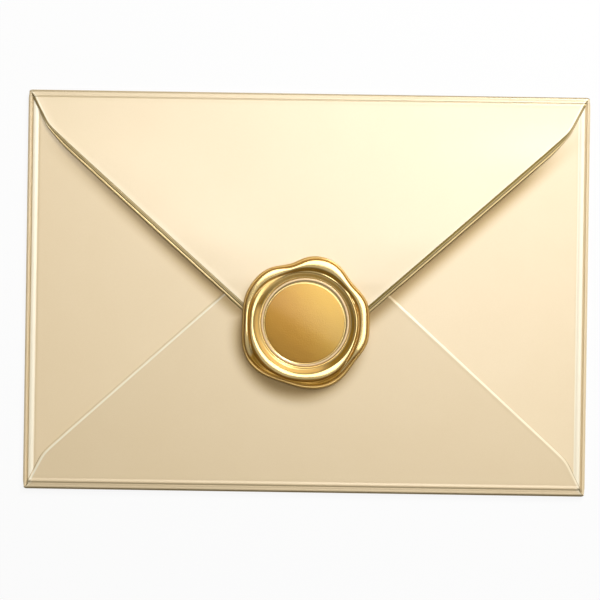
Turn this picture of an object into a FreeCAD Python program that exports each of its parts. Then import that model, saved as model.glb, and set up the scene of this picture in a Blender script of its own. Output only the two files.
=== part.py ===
import FreeCAD, Part
import math
import os

import Sketcher
from FreeCAD import Placement, Rotation, Vector

# A closed paper envelope, held shut by a wax seal, lying on its address side.
# Millimetres: X runs along the long side, Y towards the fold of the top flap and Z up, with the
# origin under the middle of the envelope.
# There are two pieces: the sheet, which was cut, scored and folded from one card, and the seal.
# Every flap is drawn in a frame of its own: along its fold, in from its fold, and up.

SIZES = (
    ("EnvelopeWidth", 176.0, "long side"),
    ("EnvelopeHeight", 125.0, "short side"),
    ("SheetThickness", 0.3, "card"),
    ("FoldRadius", 0.9, "outside radius of each fold"),
    ("GrooveInset", 1.35, "score line beside a fold, in from the edge"),
    ("GrooveDepth", 0.3, "score line, below the top of the fold"),
    ("BandInset", 2.2, "crest of the pressed band inside the score line"),
    ("BandRise", 0.05, "crest of the band, above the top of the fold"),
    ("FaceInset", 3.6, "start of a flap's smooth face"),
    ("FaceDrop", 0.05, "start of the face, below the top of the fold"),
    ("CentreRise", 2.5, "swell of the back from its folds to its middle"),
    ("GlueSink", 0.1, "how far a flap is pressed into the flap under it"),
    ("MitreReach", 2.1, "mitre where two folds meet at a corner"),
    ("ShoulderAlong", 6.6, "shoulder of a flap's edge, along the fold from the corner"),
    ("ShoulderInset", 11.0, "shoulder of a flap's edge, in from the fold"),
    ("SideTipGap", 38.0, "between the hidden tips of the two side flaps"),
    ("BottomPastMiddle", 3.0, "hidden edge of the bottom flap, past the middle"),
    ("BottomTopWidth", 42.0, "length of that hidden edge"),
    ("TopPastMiddle", 20.7, "point of the top flap, past the middle"),
    ("TipRadius", 6.0, "rounding of that point"),
    ("CrownRadius", 40.0, "bend of the top flap over the hidden edge"),
    ("CornerLip", 0.25, "pressed edge of a flap at the corner"),
    ("TopShoulderLip", 0.9, "pressed edge of the top flap at its shoulder"),
    ("TopTipLip", 2.1, "pressed edge of the top flap beside the seal"),
    ("BottomLip", 0.9, "pressed edge of the bottom flap"),
    ("LipRoot", 0.3, "how far a pressed edge reaches in under its flap"),
    ("LipSink", 0.05, "how far a pressed edge is sunk into the flap under it"),
    ("SealAcross", -0.5, "seal, sideways from the middle"),
    ("SealPastTip", 11.3, "seal, from the top flap's point back towards its fold"),
    ("StampRadius", 12.5, "flat disc left by the stamp"),
    ("WaxMargin", 7.6, "wax squeezed out past the disc"),
    ("DiscCover", 0.75, "wax between the disc and the top flap's crown"),
    ("RingSlope", 0.3, "slope at each side of the stamped ring"),
    ("RingWidth", 0.8, "stamped ring"),
    ("RingRise", 0.3, "stamped ring, above the disc"),
    ("MoatWidth", 0.4, "moat outside the ring"),
    ("StepWidth", 0.7, "step outside the moat"),
    ("StepRise", 0.5, "step, above the disc"),
    ("CrestRise", 1.8, "crest of the rim, above the disc"),
    ("CrestInset", 2.7, "crest of the rim, in from the foot of the wax"),
    ("CrestDrift", 0.75, "how much nearer the crest is on the side that the wax ran to"),
    ("CrestWidth", 0.6, "rounded top of the rim"),
    ("CrestRound", 0.25, "drop at the outer side of that top"),
    ("SkirtWidth", 1.35, "low skirt of wax outside the rim"),
    ("SkirtRound", 0.45, "rounding of the skirt"),
    ("SkirtDrop", 0.25, "skirt, below the disc"),
    ("RimFoot", 0.6, "foot of the rim, in from the skirt"),
)

# Sizes that follow from those above.
DERIVED = (
    ("FoldTop", "2 * Sizes.FoldRadius"),
    ("FoldUnder", "FoldTop - Sizes.SheetThickness"),
    ("GrooveTop", "FoldTop - Sizes.GrooveDepth"),
    ("GrooveUnder", "GrooveTop - Sizes.SheetThickness"),
    ("Lift", "Sizes.SheetThickness - Sizes.GlueSink"),
    ("SideBandTop", "FoldTop + Sizes.BandRise"),
    ("SideBandUnder", "SideBandTop - Sizes.SheetThickness"),
    ("SideFaceTop", "FoldTop - Sizes.FaceDrop"),
    ("SideFaceUnder", "SideFaceTop - Sizes.SheetThickness"),
    ("LaidBandTop", "SideBandTop + Lift"),
    ("LaidBandUnder", "LaidBandTop - Sizes.SheetThickness"),
    ("LaidFaceTop", "SideFaceTop + Lift"),
    ("LaidFaceUnder", "LaidFaceTop - Sizes.SheetThickness"),
    ("HalfWidth", "Sizes.EnvelopeWidth / 2"),
    ("HalfHeight", "Sizes.EnvelopeHeight / 2"),
    ("SideReach", "HalfWidth - Sizes.SideTipGap / 2"),
    ("SideSlope", "Sizes.CentreRise / (SideReach - Sizes.FaceInset)"),
    ("SideEndTop", "SideFaceTop + Sizes.CentreRise"),
    ("SideEndUnder", "SideEndTop - Sizes.SheetThickness"),
    ("LaidSlope", "Sizes.CentreRise / (HalfHeight - Sizes.FaceInset)"),
    ("BottomReach", "HalfHeight + Sizes.BottomPastMiddle"),
    ("BottomEndTop", "LaidFaceTop + LaidSlope * (BottomReach - Sizes.FaceInset)"),
    ("BottomEndUnder", "BottomEndTop - Sizes.SheetThickness"),
    ("CrownInset", "HalfHeight - Sizes.BottomPastMiddle"),
    ("CrownTop", "BottomEndTop + Lift"),
    ("CrownUnder", "CrownTop - Sizes.SheetThickness"),
    ("TopSlope", "(CrownTop - LaidFaceTop) / (CrownInset - Sizes.FaceInset)"),
    ("TopReach", "HalfHeight + Sizes.TopPastMiddle"),
    ("TopEndTop", "CrownTop - LaidSlope * (TopReach - CrownInset)"),
    ("TopEndUnder", "TopEndTop - Sizes.SheetThickness"),
    ("SideMitreFar", "Sizes.EnvelopeHeight - Sizes.FaceInset"),
    ("MitreFar", "Sizes.EnvelopeWidth - Sizes.MitreReach"),
    ("ShoulderFar", "Sizes.EnvelopeWidth - Sizes.ShoulderAlong"),
    ("BottomTopNear", "HalfWidth - Sizes.BottomTopWidth / 2"),
    ("BottomTopFar", "HalfWidth + Sizes.BottomTopWidth / 2"),
    ("OutlineHeight", "2 * CrownTop"),
    ("SealX", "Sizes.SealAcross"),
    ("SealY", "HalfHeight - TopReach + Sizes.SealPastTip"),
    ("SealRadius", "Sizes.StampRadius + Sizes.WaxMargin"),
    ("DiscTop", "CrownTop + Sizes.DiscCover"),
    ("RingTop", "DiscTop + Sizes.RingRise"),
    ("StepTop", "DiscTop + Sizes.StepRise"),
    ("CrestTop", "DiscTop + Sizes.CrestRise"),
    ("StampLift", "CrestTop + Sizes.CrestRise"),
    ("SkirtTop", "DiscTop - Sizes.SkirtDrop"),
    ("RingInner", "Sizes.StampRadius + Sizes.RingSlope"),
    ("RingOuter", "RingInner + Sizes.RingWidth"),
    ("MoatInner", "RingOuter + Sizes.RingSlope"),
    ("MoatOuter", "MoatInner + Sizes.MoatWidth"),
    ("StepInner", "MoatOuter + Sizes.RingSlope"),
    ("CraterRadius", "StepInner + Sizes.StepWidth"),
)

# The four flaps: turn about Z, then the corner where the fold starts, in half widths and heights.
FLAPS = {
    "Bottom": (0.0, -1, -1),
    "Right": (90.0, 1, -1),
    "Top": (180.0, 1, 1),
    "Left": (270.0, -1, 1),
}

# Lobes of the squeezed wax: angle in degrees from X, and swell past the seal's radius.
LOBES = (
    (12, 0.1), (44, -1.2), (78, 1.3), (104, -0.6), (135, 1.0), (184, -0.5),
    (212, 0.5), (252, -0.7), (298, 0.8), (323, -0.7), (350, 0.2),
)
RUN_ANGLE = 45.0


class Cells:
    """The two sheets of the document: the driving sizes, and what follows from them."""

    def __init__(self, doc):
        self.sizes = doc.addObject("Spreadsheet::Sheet", "Sizes")
        self.derived = doc.addObject("Spreadsheet::Sheet", "Derived")
        for row, (name, value, note) in enumerate(SIZES, start=1):
            self.sizes.set(f"A{row}", name)
            self.sizes.set(f"B{row}", str(value))
            self.sizes.set(f"C{row}", note)
            self.sizes.setAlias(f"B{row}", name)
        doc.recompute()
        for row, (name, formula) in enumerate(DERIVED, start=1):
            self.derived.set(f"A{row}", name)
            self.derived.set(f"B{row}", "=" + formula)
            self.derived.setAlias(f"B{row}", name)
        doc.recompute()
        self.sheet_of = {name: self.sizes for name, _, _ in SIZES}
        self.sheet_of.update({name: self.derived for name, _ in DERIVED})

    def number(self, name):
        """The value of a cell."""
        return float(self.sheet_of[name].get(name))

    def link(self, name):
        """The name of a cell as a formula writes it."""
        return f"{self.sheet_of[name].Name}.{name}"


class ClosedSketch:
    """A closed outline in the sketch's X and Y, with every corner pinned to two cells.

    A corner is (cell, cell) or (cell, cell, radius cell) where it is rounded, and None stands
    for zero. The edge after a corner in half_rounds is a half circle that bulges towards -X.
    A constraint calls an edge's points, and the sketch's own origin and axes, by number.
    """

    START, END, CENTRE = 1, 2, 3
    ORIGIN = (-1, START)
    AXIS = {"X": -2, "Y": -1}

    def __init__(self, doc, cells, name, corners, half_rounds=()):
        self.cells = cells
        self.sketch = doc.addObject("Sketcher::SketchObject", name)
        self.corners = corners
        self.points = [Vector(self.value(corner[0]), self.value(corner[1]), 0) for corner in corners]
        self.arcs = {}
        leave, arrive = self.round_corners()
        self.edges = [
            self.half_round(i) if i in half_rounds else self.line(leave[i], arrive[self.after(i)])
            for i in range(len(corners))
        ]
        for i in range(len(corners)):
            self.join(i)

    def value(self, cell):
        """The number in a cell, and zero for None."""
        return 0.0 if cell is None else self.cells.number(cell)

    def after(self, i):
        """The next corner round the outline."""
        return (i + 1) % len(self.corners)

    def round_corners(self):
        """Draw the arc of each rounded corner. Gives where edges leave and reach each corner."""
        leave, arrive = list(self.points), list(self.points)
        for i, corner in enumerate(self.corners):
            if len(corner) < 3:
                continue
            back = (self.points[i - 1] - self.points[i]).normalize()
            ahead = (self.points[self.after(i)] - self.points[i]).normalize()
            half_angle = back.getAngle(ahead) / 2
            radius = self.value(corner[2])
            arrive[i] = self.points[i] + back * (radius / math.tan(half_angle))
            leave[i] = self.points[i] + ahead * (radius / math.tan(half_angle))
            centre = self.points[i] + (back + ahead).normalize() * (radius / math.sin(half_angle))
            turns_left = back.cross(ahead).z < 0
            limits = (arrive[i], leave[i]) if turns_left else (leave[i], arrive[i])
            angles = [math.atan2((end - centre).y, (end - centre).x) for end in limits]
            circle = Part.Circle(centre, Vector(0, 0, 1), radius)
            geometry = self.sketch.addGeometry(Part.ArcOfCircle(circle, *angles), False)
            ends = (self.START, self.END) if turns_left else (self.END, self.START)
            self.arcs[i] = (geometry, *ends)
        return leave, arrive

    def line(self, start, end):
        """A straight edge: its geometry, and the names of its first and last point."""
        return self.sketch.addGeometry(Part.LineSegment(start, end), False), self.START, self.END

    def half_round(self, i):
        """The half circle from corner i to the next, with its centre level with both ends."""
        start, end = self.points[i], self.points[self.after(i)]
        circle = Part.Circle((start + end) / 2, Vector(0, 0, 1), (end - start).Length / 2)
        arc = Part.ArcOfCircle(circle, math.pi / 2, 3 * math.pi / 2)
        geometry = self.sketch.addGeometry(arc, False)
        self.pin(geometry, self.CENTRE, "X", self.corners[i][0])
        ends = (self.START, self.END) if start.y > end.y else (self.END, self.START)
        return geometry, *ends

    def constrain(self, *terms):
        """Add a constraint and give its number."""
        return self.sketch.addConstraint(Sketcher.Constraint(*terms))

    def pin(self, geometry, point, axis, cell):
        """Hold one coordinate of a point at a cell."""
        if cell is None:
            self.constrain("PointOnObject", geometry, point, self.AXIS[axis])
            return
        terms = (*self.ORIGIN, geometry, point, self.value(cell))
        self.bind(self.constrain("Distance" + axis, *terms), cell)

    def bind(self, number, cell):
        """Tie a constraint to a cell."""
        name = f"{cell}_{number}"
        self.sketch.renameConstraint(number, name)
        self.sketch.setExpression(f"Constraints.{name}", self.cells.link(cell))

    def join(self, i):
        """Tie the edges that meet at corner i, and pin the corner."""
        before, before_end = self.edges[i - 1][0], self.edges[i - 1][2]
        edge, edge_start = self.edges[i][0], self.edges[i][1]
        if i in self.arcs:
            arc, arc_start, arc_end = self.arcs[i]
            self.constrain("Tangent", before, before_end, arc, arc_start)
            self.constrain("Tangent", arc, arc_end, edge, edge_start)
            self.bind(self.constrain("Radius", arc, self.value(self.corners[i][2])), self.corners[i][2])
            held, held_point = self.sketch.addGeometry(Part.Point(self.points[i]), True), self.START
            self.constrain("PointOnObject", held, held_point, before)
            self.constrain("PointOnObject", held, held_point, edge)
        else:
            self.constrain("Coincident", before, before_end, edge, edge_start)
            held, held_point = edge, edge_start
        self.pin(held, held_point, "X", self.corners[i][0])
        self.pin(held, held_point, "Y", self.corners[i][1])


def place_flap(cells, feature, side, stands=False):
    """Put a feature in the frame of one flap. One that stands has its Y turned up."""
    turn, across, up = FLAPS[side]
    rotation = Rotation(Vector(0, 0, 1), turn)
    if stands:
        rotation = rotation.multiply(Rotation(Vector(0, 1, 0), Vector(0, 0, 1), Vector(1, 0, 0), "XYZ"))
    corner = Vector(across * cells.number("HalfWidth"), up * cells.number("HalfHeight"), 0)
    feature.Placement = Placement(corner, rotation)
    feature.setExpression("Placement.Base.x", f"{across} * {cells.link('HalfWidth')}")
    feature.setExpression("Placement.Base.y", f"{up} * {cells.link('HalfHeight')}")


def extrude(doc, cells, sketch, name, length_cell):
    """A solid drawn out from a closed sketch along its normal."""
    solid = doc.addObject("Part::Extrusion", name)
    solid.Base = sketch
    solid.DirMode = "Normal"
    solid.Solid = True
    solid.setExpression("LengthFwd", cells.link(length_cell))
    return solid


def side_corners():
    """Plan of a side flap: a triangle whose slanted edges hide under the other flaps."""
    return (
        (None, None), ("FaceInset", "FaceInset"), ("HalfHeight", "SideReach"),
        ("SideMitreFar", "FaceInset"), ("EnvelopeHeight", None),
    )


def laid_corners(*point):
    """Plan of the top or bottom flap: mitre, steep run, shoulder and long diagonal."""
    return (
        (None, None), ("MitreReach", "MitreReach"), ("ShoulderAlong", "ShoulderInset"), *point,
        ("ShoulderFar", "ShoulderInset"), ("MitreFar", "MitreReach"), ("EnvelopeWidth", None),
    )


BOTTOM_POINT = (("BottomTopNear", "BottomReach"), ("BottomTopFar", "BottomReach"))
TOP_POINT = (("HalfWidth", "TopReach", "TipRadius"),)
PLANS = {
    "Left": side_corners(),
    "Right": side_corners(),
    "Bottom": laid_corners(*BOTTOM_POINT),
    "Top": laid_corners(*TOP_POINT),
}

# Corners of each flap's section past the start of its face: out on top, then back underneath.
SIDE_RUN = ((("SideReach", "SideEndTop"),), (("SideReach", "SideEndUnder"),))
RUNS = {
    "Left": SIDE_RUN,
    "Right": SIDE_RUN,
    "Bottom": ((("BottomReach", "BottomEndTop"),), (("BottomReach", "BottomEndUnder"),)),
    "Top": (
        (("CrownInset", "CrownTop", "CrownRadius"), ("TopReach", "TopEndTop")),
        (("TopReach", "TopEndUnder"), ("CrownInset", "CrownUnder", "CrownRadius")),
    ),
}


def sheet_corners(side):
    """Section of the card from the front panel round the fold, over the flap and back under it."""
    kind = "Laid" if side in ("Top", "Bottom") else "Side"
    above, below = RUNS[side]
    return (
        ("FoldRadius", None), ("FoldRadius", "FoldTop"), ("GrooveInset", "GrooveTop"),
        ("BandInset", kind + "BandTop"), ("FaceInset", kind + "FaceTop"), *above, *below,
        ("FaceInset", kind + "FaceUnder"), ("BandInset", kind + "BandUnder"),
        ("GrooveInset", "GrooveUnder"), ("FoldRadius", "FoldUnder"), ("FoldRadius", "SheetThickness"),
    )


def bed_corners(side):
    """Section of everything under the face of a flap, down to the table."""
    kind = "Laid" if side in ("Top", "Bottom") else "Side"
    above, _ = RUNS[side]
    return (("FaceInset", None), ("FaceInset", kind + "FaceTop"), *above, (above[-1][0], None))


def flap_solid(doc, cells, side, name, section, half_rounds=()):
    """A section drawn out along the fold and cut to the plan of the flap."""
    length = "EnvelopeWidth" if side in ("Top", "Bottom") else "EnvelopeHeight"
    drawn = ClosedSketch(doc, cells, name + "Section", section, half_rounds).sketch
    place_flap(cells, drawn, side, stands=True)
    plan = ClosedSketch(doc, cells, name + "Plan", PLANS[side]).sketch
    place_flap(cells, plan, side)
    cut = doc.addObject("Part::Common", name)
    cut.Base = extrude(doc, cells, drawn, name + "Strip", length)
    cut.Tool = extrude(doc, cells, plan, name + "Blank", "OutlineHeight")
    return cut


def front_panel(doc, cells):
    """The address side, flat on the table between the four folds."""
    panel = doc.addObject("Part::Box", "FrontPanel")
    radius = cells.link("FoldRadius")
    panel.setExpression("Length", f"{cells.link('EnvelopeWidth')} - 2 * {radius}")
    panel.setExpression("Width", f"{cells.link('EnvelopeHeight')} - 2 * {radius}")
    panel.setExpression("Height", cells.link("SheetThickness"))
    panel.setExpression("Placement.Base.x", f"{radius} - {cells.link('HalfWidth')}")
    panel.setExpression("Placement.Base.y", f"{radius} - {cells.link('HalfHeight')}")
    return panel


class Back:
    """Heights on the back of the envelope, read where the pressed edges need them."""

    def __init__(self, cells):
        self.get = cells.number

    def side(self, inset):
        """Face of a side flap."""
        return self.get("SideFaceTop") + self.get("SideSlope") * max(inset - self.get("FaceInset"), 0)

    def bottom(self, inset):
        """Face of the bottom flap."""
        return self.get("LaidFaceTop") + self.get("LaidSlope") * max(inset - self.get("FaceInset"), 0)

    def top(self, inset):
        """Face of the top flap: up to the crown, then down with the bottom flap under it."""
        past = inset - self.get("CrownInset")
        if past > 0:
            return self.get("CrownTop") - self.get("LaidSlope") * past
        return self.get("LaidFaceTop") + self.get("TopSlope") * max(inset - self.get("FaceInset"), 0)


def pressed_edge(doc, cells, side, stations):
    """The edge strip of a flap, pressed down from its crease onto the flap under it.

    A station is the crease's place (along, in), its outward direction, the strip's width there
    and the heights of the flap and of what lies under the crease and under the cut edge.
    """
    root, sink = cells.number("LipRoot"), cells.number("LipSink")
    half_sheet = cells.number("SheetThickness") / 2
    wires = []
    for place, outward, width, face, under_crease, under_edge in stations:
        outer = place + outward * width
        inner = place - outward * root
        wires.append(Part.makePolygon([
            Vector(place.x, place.y, face),
            Vector(outer.x, outer.y, under_edge - sink),
            Vector(inner.x, inner.y, under_crease - sink),
            Vector(inner.x, inner.y, face - half_sheet),
            Vector(place.x, place.y, face),
        ]))
    near = doc.addObject("Part::Feature", side + "EdgeNear")
    near.Shape = Part.makeLoft(wires, True, True)
    place_flap(cells, near, side)
    far = doc.addObject("Part::Mirroring", side + "EdgeFar")
    far.Source = near
    far.Normal = Vector(1, 0, 0)
    return [near, far]


def outward_of(start, end):
    """Unit vector square to a run of the edge, away from the flap."""
    along = (end - start).normalize()
    return Vector(-along.y, along.x, 0)


def edge_run(cells):
    """Places that both laid flaps share: the end of the mitre and the shoulder."""
    mitre = Vector(cells.number("MitreReach"), cells.number("MitreReach"), 0)
    shoulder = Vector(cells.number("ShoulderAlong"), cells.number("ShoulderInset"), 0)
    return mitre, shoulder


def bottom_edges(doc, cells, back):
    """Pressed edges of the bottom flap, on the two side flaps."""
    mitre, shoulder = edge_run(cells)
    end = Vector(cells.number("BottomTopNear"), cells.number("BottomReach"), 0)
    steep, slant = outward_of(mitre, shoulder), outward_of(shoulder, end)
    lip = cells.number("BottomLip")
    runs = (
        (mitre, steep, cells.number("CornerLip")),
        (shoulder, (steep + slant).normalize(), lip),
        (end, slant, lip),
    )
    stations = [
        (place, outward, width, back.bottom(place.y), back.side(place.x),
         back.side((place + outward * width).x))
        for place, outward, width in runs
    ]
    return pressed_edge(doc, cells, "Bottom", stations)


def top_edges(doc, cells, back):
    """Pressed edges of the top flap: down the side flaps, then over the bottom flap."""
    mitre, shoulder = edge_run(cells)
    tip = Vector(cells.number("HalfWidth"), cells.number("TopReach"), 0)
    steep, slant = outward_of(mitre, shoulder), outward_of(shoulder, tip)
    wide, narrow = cells.number("TopTipLip"), cells.number("TopShoulderLip")
    height = cells.number("EnvelopeHeight")

    def on_slant(inset):
        """Point of the long diagonal at a distance from the fold, and the strip's width there."""
        share = (inset - shoulder.y) / (tip.y - shoulder.y)
        return shoulder + (tip - shoulder) * share, narrow + (wide - narrow) * min(1, 2 * share)

    stations = []
    for place, outward, width in (
        (mitre, steep, cells.number("CornerLip")),
        (shoulder, (steep + slant).normalize(), narrow),
    ):
        outer = place + outward * width
        stations.append((place, outward, width, back.top(place.y), back.side(place.x), back.side(outer.x)))

    crown = cells.number("CrownInset")
    bend = cells.number("CrownRadius") * (cells.number("TopSlope") + cells.number("LaidSlope")) / 2
    tangent = cells.number("TipRadius") * (tip - shoulder).y / (tip - shoulder).Length
    for inset, on_side in (
        ((shoulder.y + crown) / 2, True),
        (crown - bend, True),
        (crown + bend, False),
        (tip.y - tangent, False),
    ):
        place, width = on_slant(inset)
        outer = place + slant * width
        if on_side:
            levels = back.side(place.x), back.side(outer.x)
        else:
            levels = back.bottom(height - place.y), back.bottom(height - outer.y)
        stations.append((place, slant, width, back.top(place.y), *levels))
    return pressed_edge(doc, cells, "Top", stations)


def fuse(doc, name, pieces):
    """One solid of several."""
    whole = doc.addObject("Part::MultiFuse", name)
    whole.Shapes = pieces
    return whole


def seal_line(doc, cells, name, radii, height):
    """A closed line at one height round the seal's middle, with a radius at each lobe's angle."""
    places = [
        Vector(radius * math.cos(math.radians(angle)), radius * math.sin(math.radians(angle)), height)
        for (angle, _), radius in zip(LOBES, radii)
    ]
    curve = Part.BSplineCurve()
    curve.interpolate(places, PeriodicFlag=True)
    line = doc.addObject("Part::Feature", name)
    line.Shape = Part.Wire([curve.toShape()])
    line.Placement = Placement(Vector(cells.number("SealX"), cells.number("SealY"), 0), Rotation())
    return line


def seal_ring(doc, cells, name, inset, height, drift=0.0):
    """A line that follows the lobes, in from the foot of the wax, less where the wax ran to."""
    radius = cells.number("SealRadius") - inset
    radii = [
        radius + swell + drift * math.cos(math.radians(angle - RUN_ANGLE))
        for angle, swell in LOBES
    ]
    return seal_line(doc, cells, name, radii, height)


def seal_circle(doc, cells, name, radius, height):
    """A round line about the seal's middle."""
    return seal_line(doc, cells, name, [radius] * len(LOBES), height)


def loft(doc, name, rings):
    """A solid through closed lines, straight from each to the next."""
    solid = doc.addObject("Part::Loft", name)
    solid.Sections = rings
    solid.Solid = True
    solid.Ruled = True
    return solid


def wax_body(doc, cells):
    """The pool of wax, from under the paper's surface up to the crest of its rim."""
    get = cells.number
    skirt = get("SkirtWidth")
    crest = get("CrestInset")
    rings = (
        ("WaxFoot", 0.0, get("SideFaceTop"), 0.0),
        ("WaxSide", 0.0, get("SkirtTop") - get("SkirtRound"), 0.0),
        ("WaxRound", get("SkirtRound"), get("SkirtTop"), 0.0),
        ("WaxSkirt", skirt, get("SkirtTop"), 0.0),
        ("RimFoot", skirt + get("RimFoot"), (get("SkirtTop") + get("CrestTop")) / 2, 0.0),
        ("RimRound", crest - get("CrestWidth") / 2, get("CrestTop") - get("CrestRound"), get("CrestDrift")),
        ("RimCrest", crest, get("CrestTop"), get("CrestDrift")),
    )
    return loft(doc, "WaxPool", [seal_ring(doc, cells, *ring) for ring in rings])


def stamp_tools(doc, cells):
    """What the stamp leaves free: the funnel inside the rim, and the disc with its ring."""
    get = cells.number
    funnel = loft(doc, "Funnel", [
        seal_circle(doc, cells, "FunnelFoot", get("CraterRadius"), get("StepTop")),
        seal_ring(doc, cells, "FunnelTop", get("CrestInset") + get("CrestWidth"), get("CrestTop"),
                  get("CrestDrift")),
        seal_ring(doc, cells, "FunnelLift", get("CrestInset") + get("CrestWidth"), get("StampLift"),
                  get("CrestDrift")),
    ])
    face = ClosedSketch(doc, cells, "StampFace", (
        (None, "DiscTop"), ("StampRadius", "DiscTop"), ("RingInner", "RingTop"),
        ("RingOuter", "RingTop"), ("MoatInner", "DiscTop"), ("MoatOuter", "DiscTop"),
        ("StepInner", "StepTop"), ("CraterRadius", "StepTop"), ("CraterRadius", "StampLift"),
        (None, "StampLift"),
    )).sketch
    face.Placement = Placement(Vector(get("SealX"), get("SealY"), 0), Rotation(Vector(1, 0, 0), 90))
    face.setExpression("Placement.Base.x", cells.link("SealX"))
    face.setExpression("Placement.Base.y", cells.link("SealY"))
    stamp = doc.addObject("Part::Revolution", "Stamp")
    stamp.Source = face
    stamp.Axis = Vector(0, 0, 1)
    stamp.Base = Vector(get("SealX"), get("SealY"), 0)
    stamp.setExpression("Base.x", cells.link("SealX"))
    stamp.setExpression("Base.y", cells.link("SealY"))
    stamp.Angle = 360
    stamp.Solid = True
    return [funnel, stamp]


def envelope(doc, cells, edges):
    """The folded sheet: front panel, four flaps and their pressed edges, glued where they lap."""
    flaps = [
        flap_solid(doc, cells, side, side + "Flap", sheet_corners(side),
                   (0, len(sheet_corners(side)) - 2))
        for side in FLAPS
    ]
    sheet = fuse(doc, "Sheet", [front_panel(doc, cells), *flaps, *edges])
    sheet.Label = "envelope_sheet"
    return sheet


def wax_seal(doc, cells, edges):
    """The seal: a pool of wax, stamped, with its underside shaped by the paper."""
    beds = [flap_solid(doc, cells, side, side + "Bed", bed_corners(side)) for side in FLAPS]
    paper = fuse(doc, "Paper", [*beds, *edges])
    removed = fuse(doc, "Removed", [*stamp_tools(doc, cells), paper])
    seal = doc.addObject("Part::Cut", "Seal")
    seal.Base = wax_body(doc, cells)
    seal.Tool = removed
    seal.Label = "wax_seal"
    return seal


def check(doc, pieces):
    """Stop before anything is written if a feature failed or a piece isn't one sound solid."""
    for thing in doc.Objects:
        if {"Invalid", "Error"} & set(thing.State):
            raise RuntimeError(f"{thing.Name} failed: {thing.State}")
    for piece in pieces:
        shape = piece.Shape
        if shape.isNull() or not shape.isValid() or len(shape.Solids) != 1:
            raise RuntimeError(f"{piece.Label}: {len(shape.Solids)} solids, valid {shape.isValid()}")


def build():
    """Make the document, check it and write each piece."""
    doc = FreeCAD.newDocument("Envelope")
    cells = Cells(doc)
    back = Back(cells)
    edges = bottom_edges(doc, cells, back) + top_edges(doc, cells, back)
    pieces = [envelope(doc, cells, edges), wax_seal(doc, cells, edges)]
    doc.recompute()
    check(doc, pieces)
    os.makedirs("parts", exist_ok=True)
    for piece in pieces:
        piece.Shape.exportStep(f"parts/{piece.Label}.step")
        box = piece.Shape.BoundBox
        print(f"{piece.Label}: {box.XLength:.2f} x {box.YLength:.2f} x {box.ZLength:.2f} mm, "
              f"volume {piece.Shape.Volume:.1f} mm3, {len(piece.Shape.Faces)} faces")


build()
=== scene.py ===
import logging
import math
from dataclasses import dataclass
from enum import Enum
from functools import reduce

import bpy
import numpy as np
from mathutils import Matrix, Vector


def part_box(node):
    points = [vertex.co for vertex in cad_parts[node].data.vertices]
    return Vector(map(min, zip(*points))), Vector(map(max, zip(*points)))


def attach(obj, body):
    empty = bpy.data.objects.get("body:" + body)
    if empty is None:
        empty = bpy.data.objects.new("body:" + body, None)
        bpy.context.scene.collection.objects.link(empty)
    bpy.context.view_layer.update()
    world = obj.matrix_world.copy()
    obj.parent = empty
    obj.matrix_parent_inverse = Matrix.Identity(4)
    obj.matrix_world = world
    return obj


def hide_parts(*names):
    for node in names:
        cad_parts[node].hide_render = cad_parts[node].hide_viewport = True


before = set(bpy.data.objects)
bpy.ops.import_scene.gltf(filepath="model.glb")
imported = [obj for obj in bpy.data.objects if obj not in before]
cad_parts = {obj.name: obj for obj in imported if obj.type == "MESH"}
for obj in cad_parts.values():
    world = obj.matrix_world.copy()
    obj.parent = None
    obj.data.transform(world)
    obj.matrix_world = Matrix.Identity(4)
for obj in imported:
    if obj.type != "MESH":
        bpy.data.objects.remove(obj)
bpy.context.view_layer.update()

# A closed paper envelope with a wax seal, seen straight from above on a white table.
# Shapes are worked out in millimetres and become metres when a mesh is made. X runs along the
# long side, Y towards the fold of the top flap and Z up.

Array = np.ndarray
Pair = tuple[float, float]
Triple = tuple[float, float, float]
METRES = 0.001
LOG = logging.getLogger("envelope")


def ease(x: Array) -> Array:
    """Smooth step from 0 to 1: three x squared minus two x cubed, with x held between 0 and 1."""
    held = np.clip(x, 0.0, 1.0)
    return held * held * (3.0 - 2.0 * held)


def step(x: Array, start: float, end: float) -> Array:
    """Smooth step from 0 at the start to 1 at the end."""
    return ease((x - start) / (end - start))


def fall(x: Array, start: float, end: float) -> Array:
    """Smooth step from 1 at the start to 0 at the end."""
    return 1 - step(x, start, end)


def hump(x: Array, centre: float, width: float) -> Array:
    """Bell of height 1: e to the minus square of the distance from the centre over the width."""
    return np.exp(-(((x - centre) / width) ** 2))


def bells(x: Array, *each: Triple) -> Array:
    """Sum of bells, each given by its height, centre and width."""
    return sum(height * hump(x, centre, width) for height, centre, width in each)


def soft_max(x: Array, y: Array, blend: float) -> Array:
    """The larger height, rounded: half of x plus y plus the root of blend and x less y, squared."""
    return 0.5 * (x + y + np.sqrt((x - y) ** 2 + blend**2))


def soft_min(x: Array, y: Array, blend: float) -> Array:
    """The smaller of two heights, with a rounded change."""
    return -soft_max(-x, -y, blend)


def spaced(*stops: tuple[float, int]) -> Array:
    """Positions with a spacing of their own in each stretch.

    Args:
        stops: the first is (start, 0), and each other one (end of a stretch, steps in it).
    Returns:
        The rising positions, each stop once.
    """
    runs = [np.array([stops[0][0]])]
    for (near, _), (far, steps) in zip(stops, stops[1:]):
        runs.append(np.linspace(near, far, steps + 1)[1:])
    return np.concatenate(runs)


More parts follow.
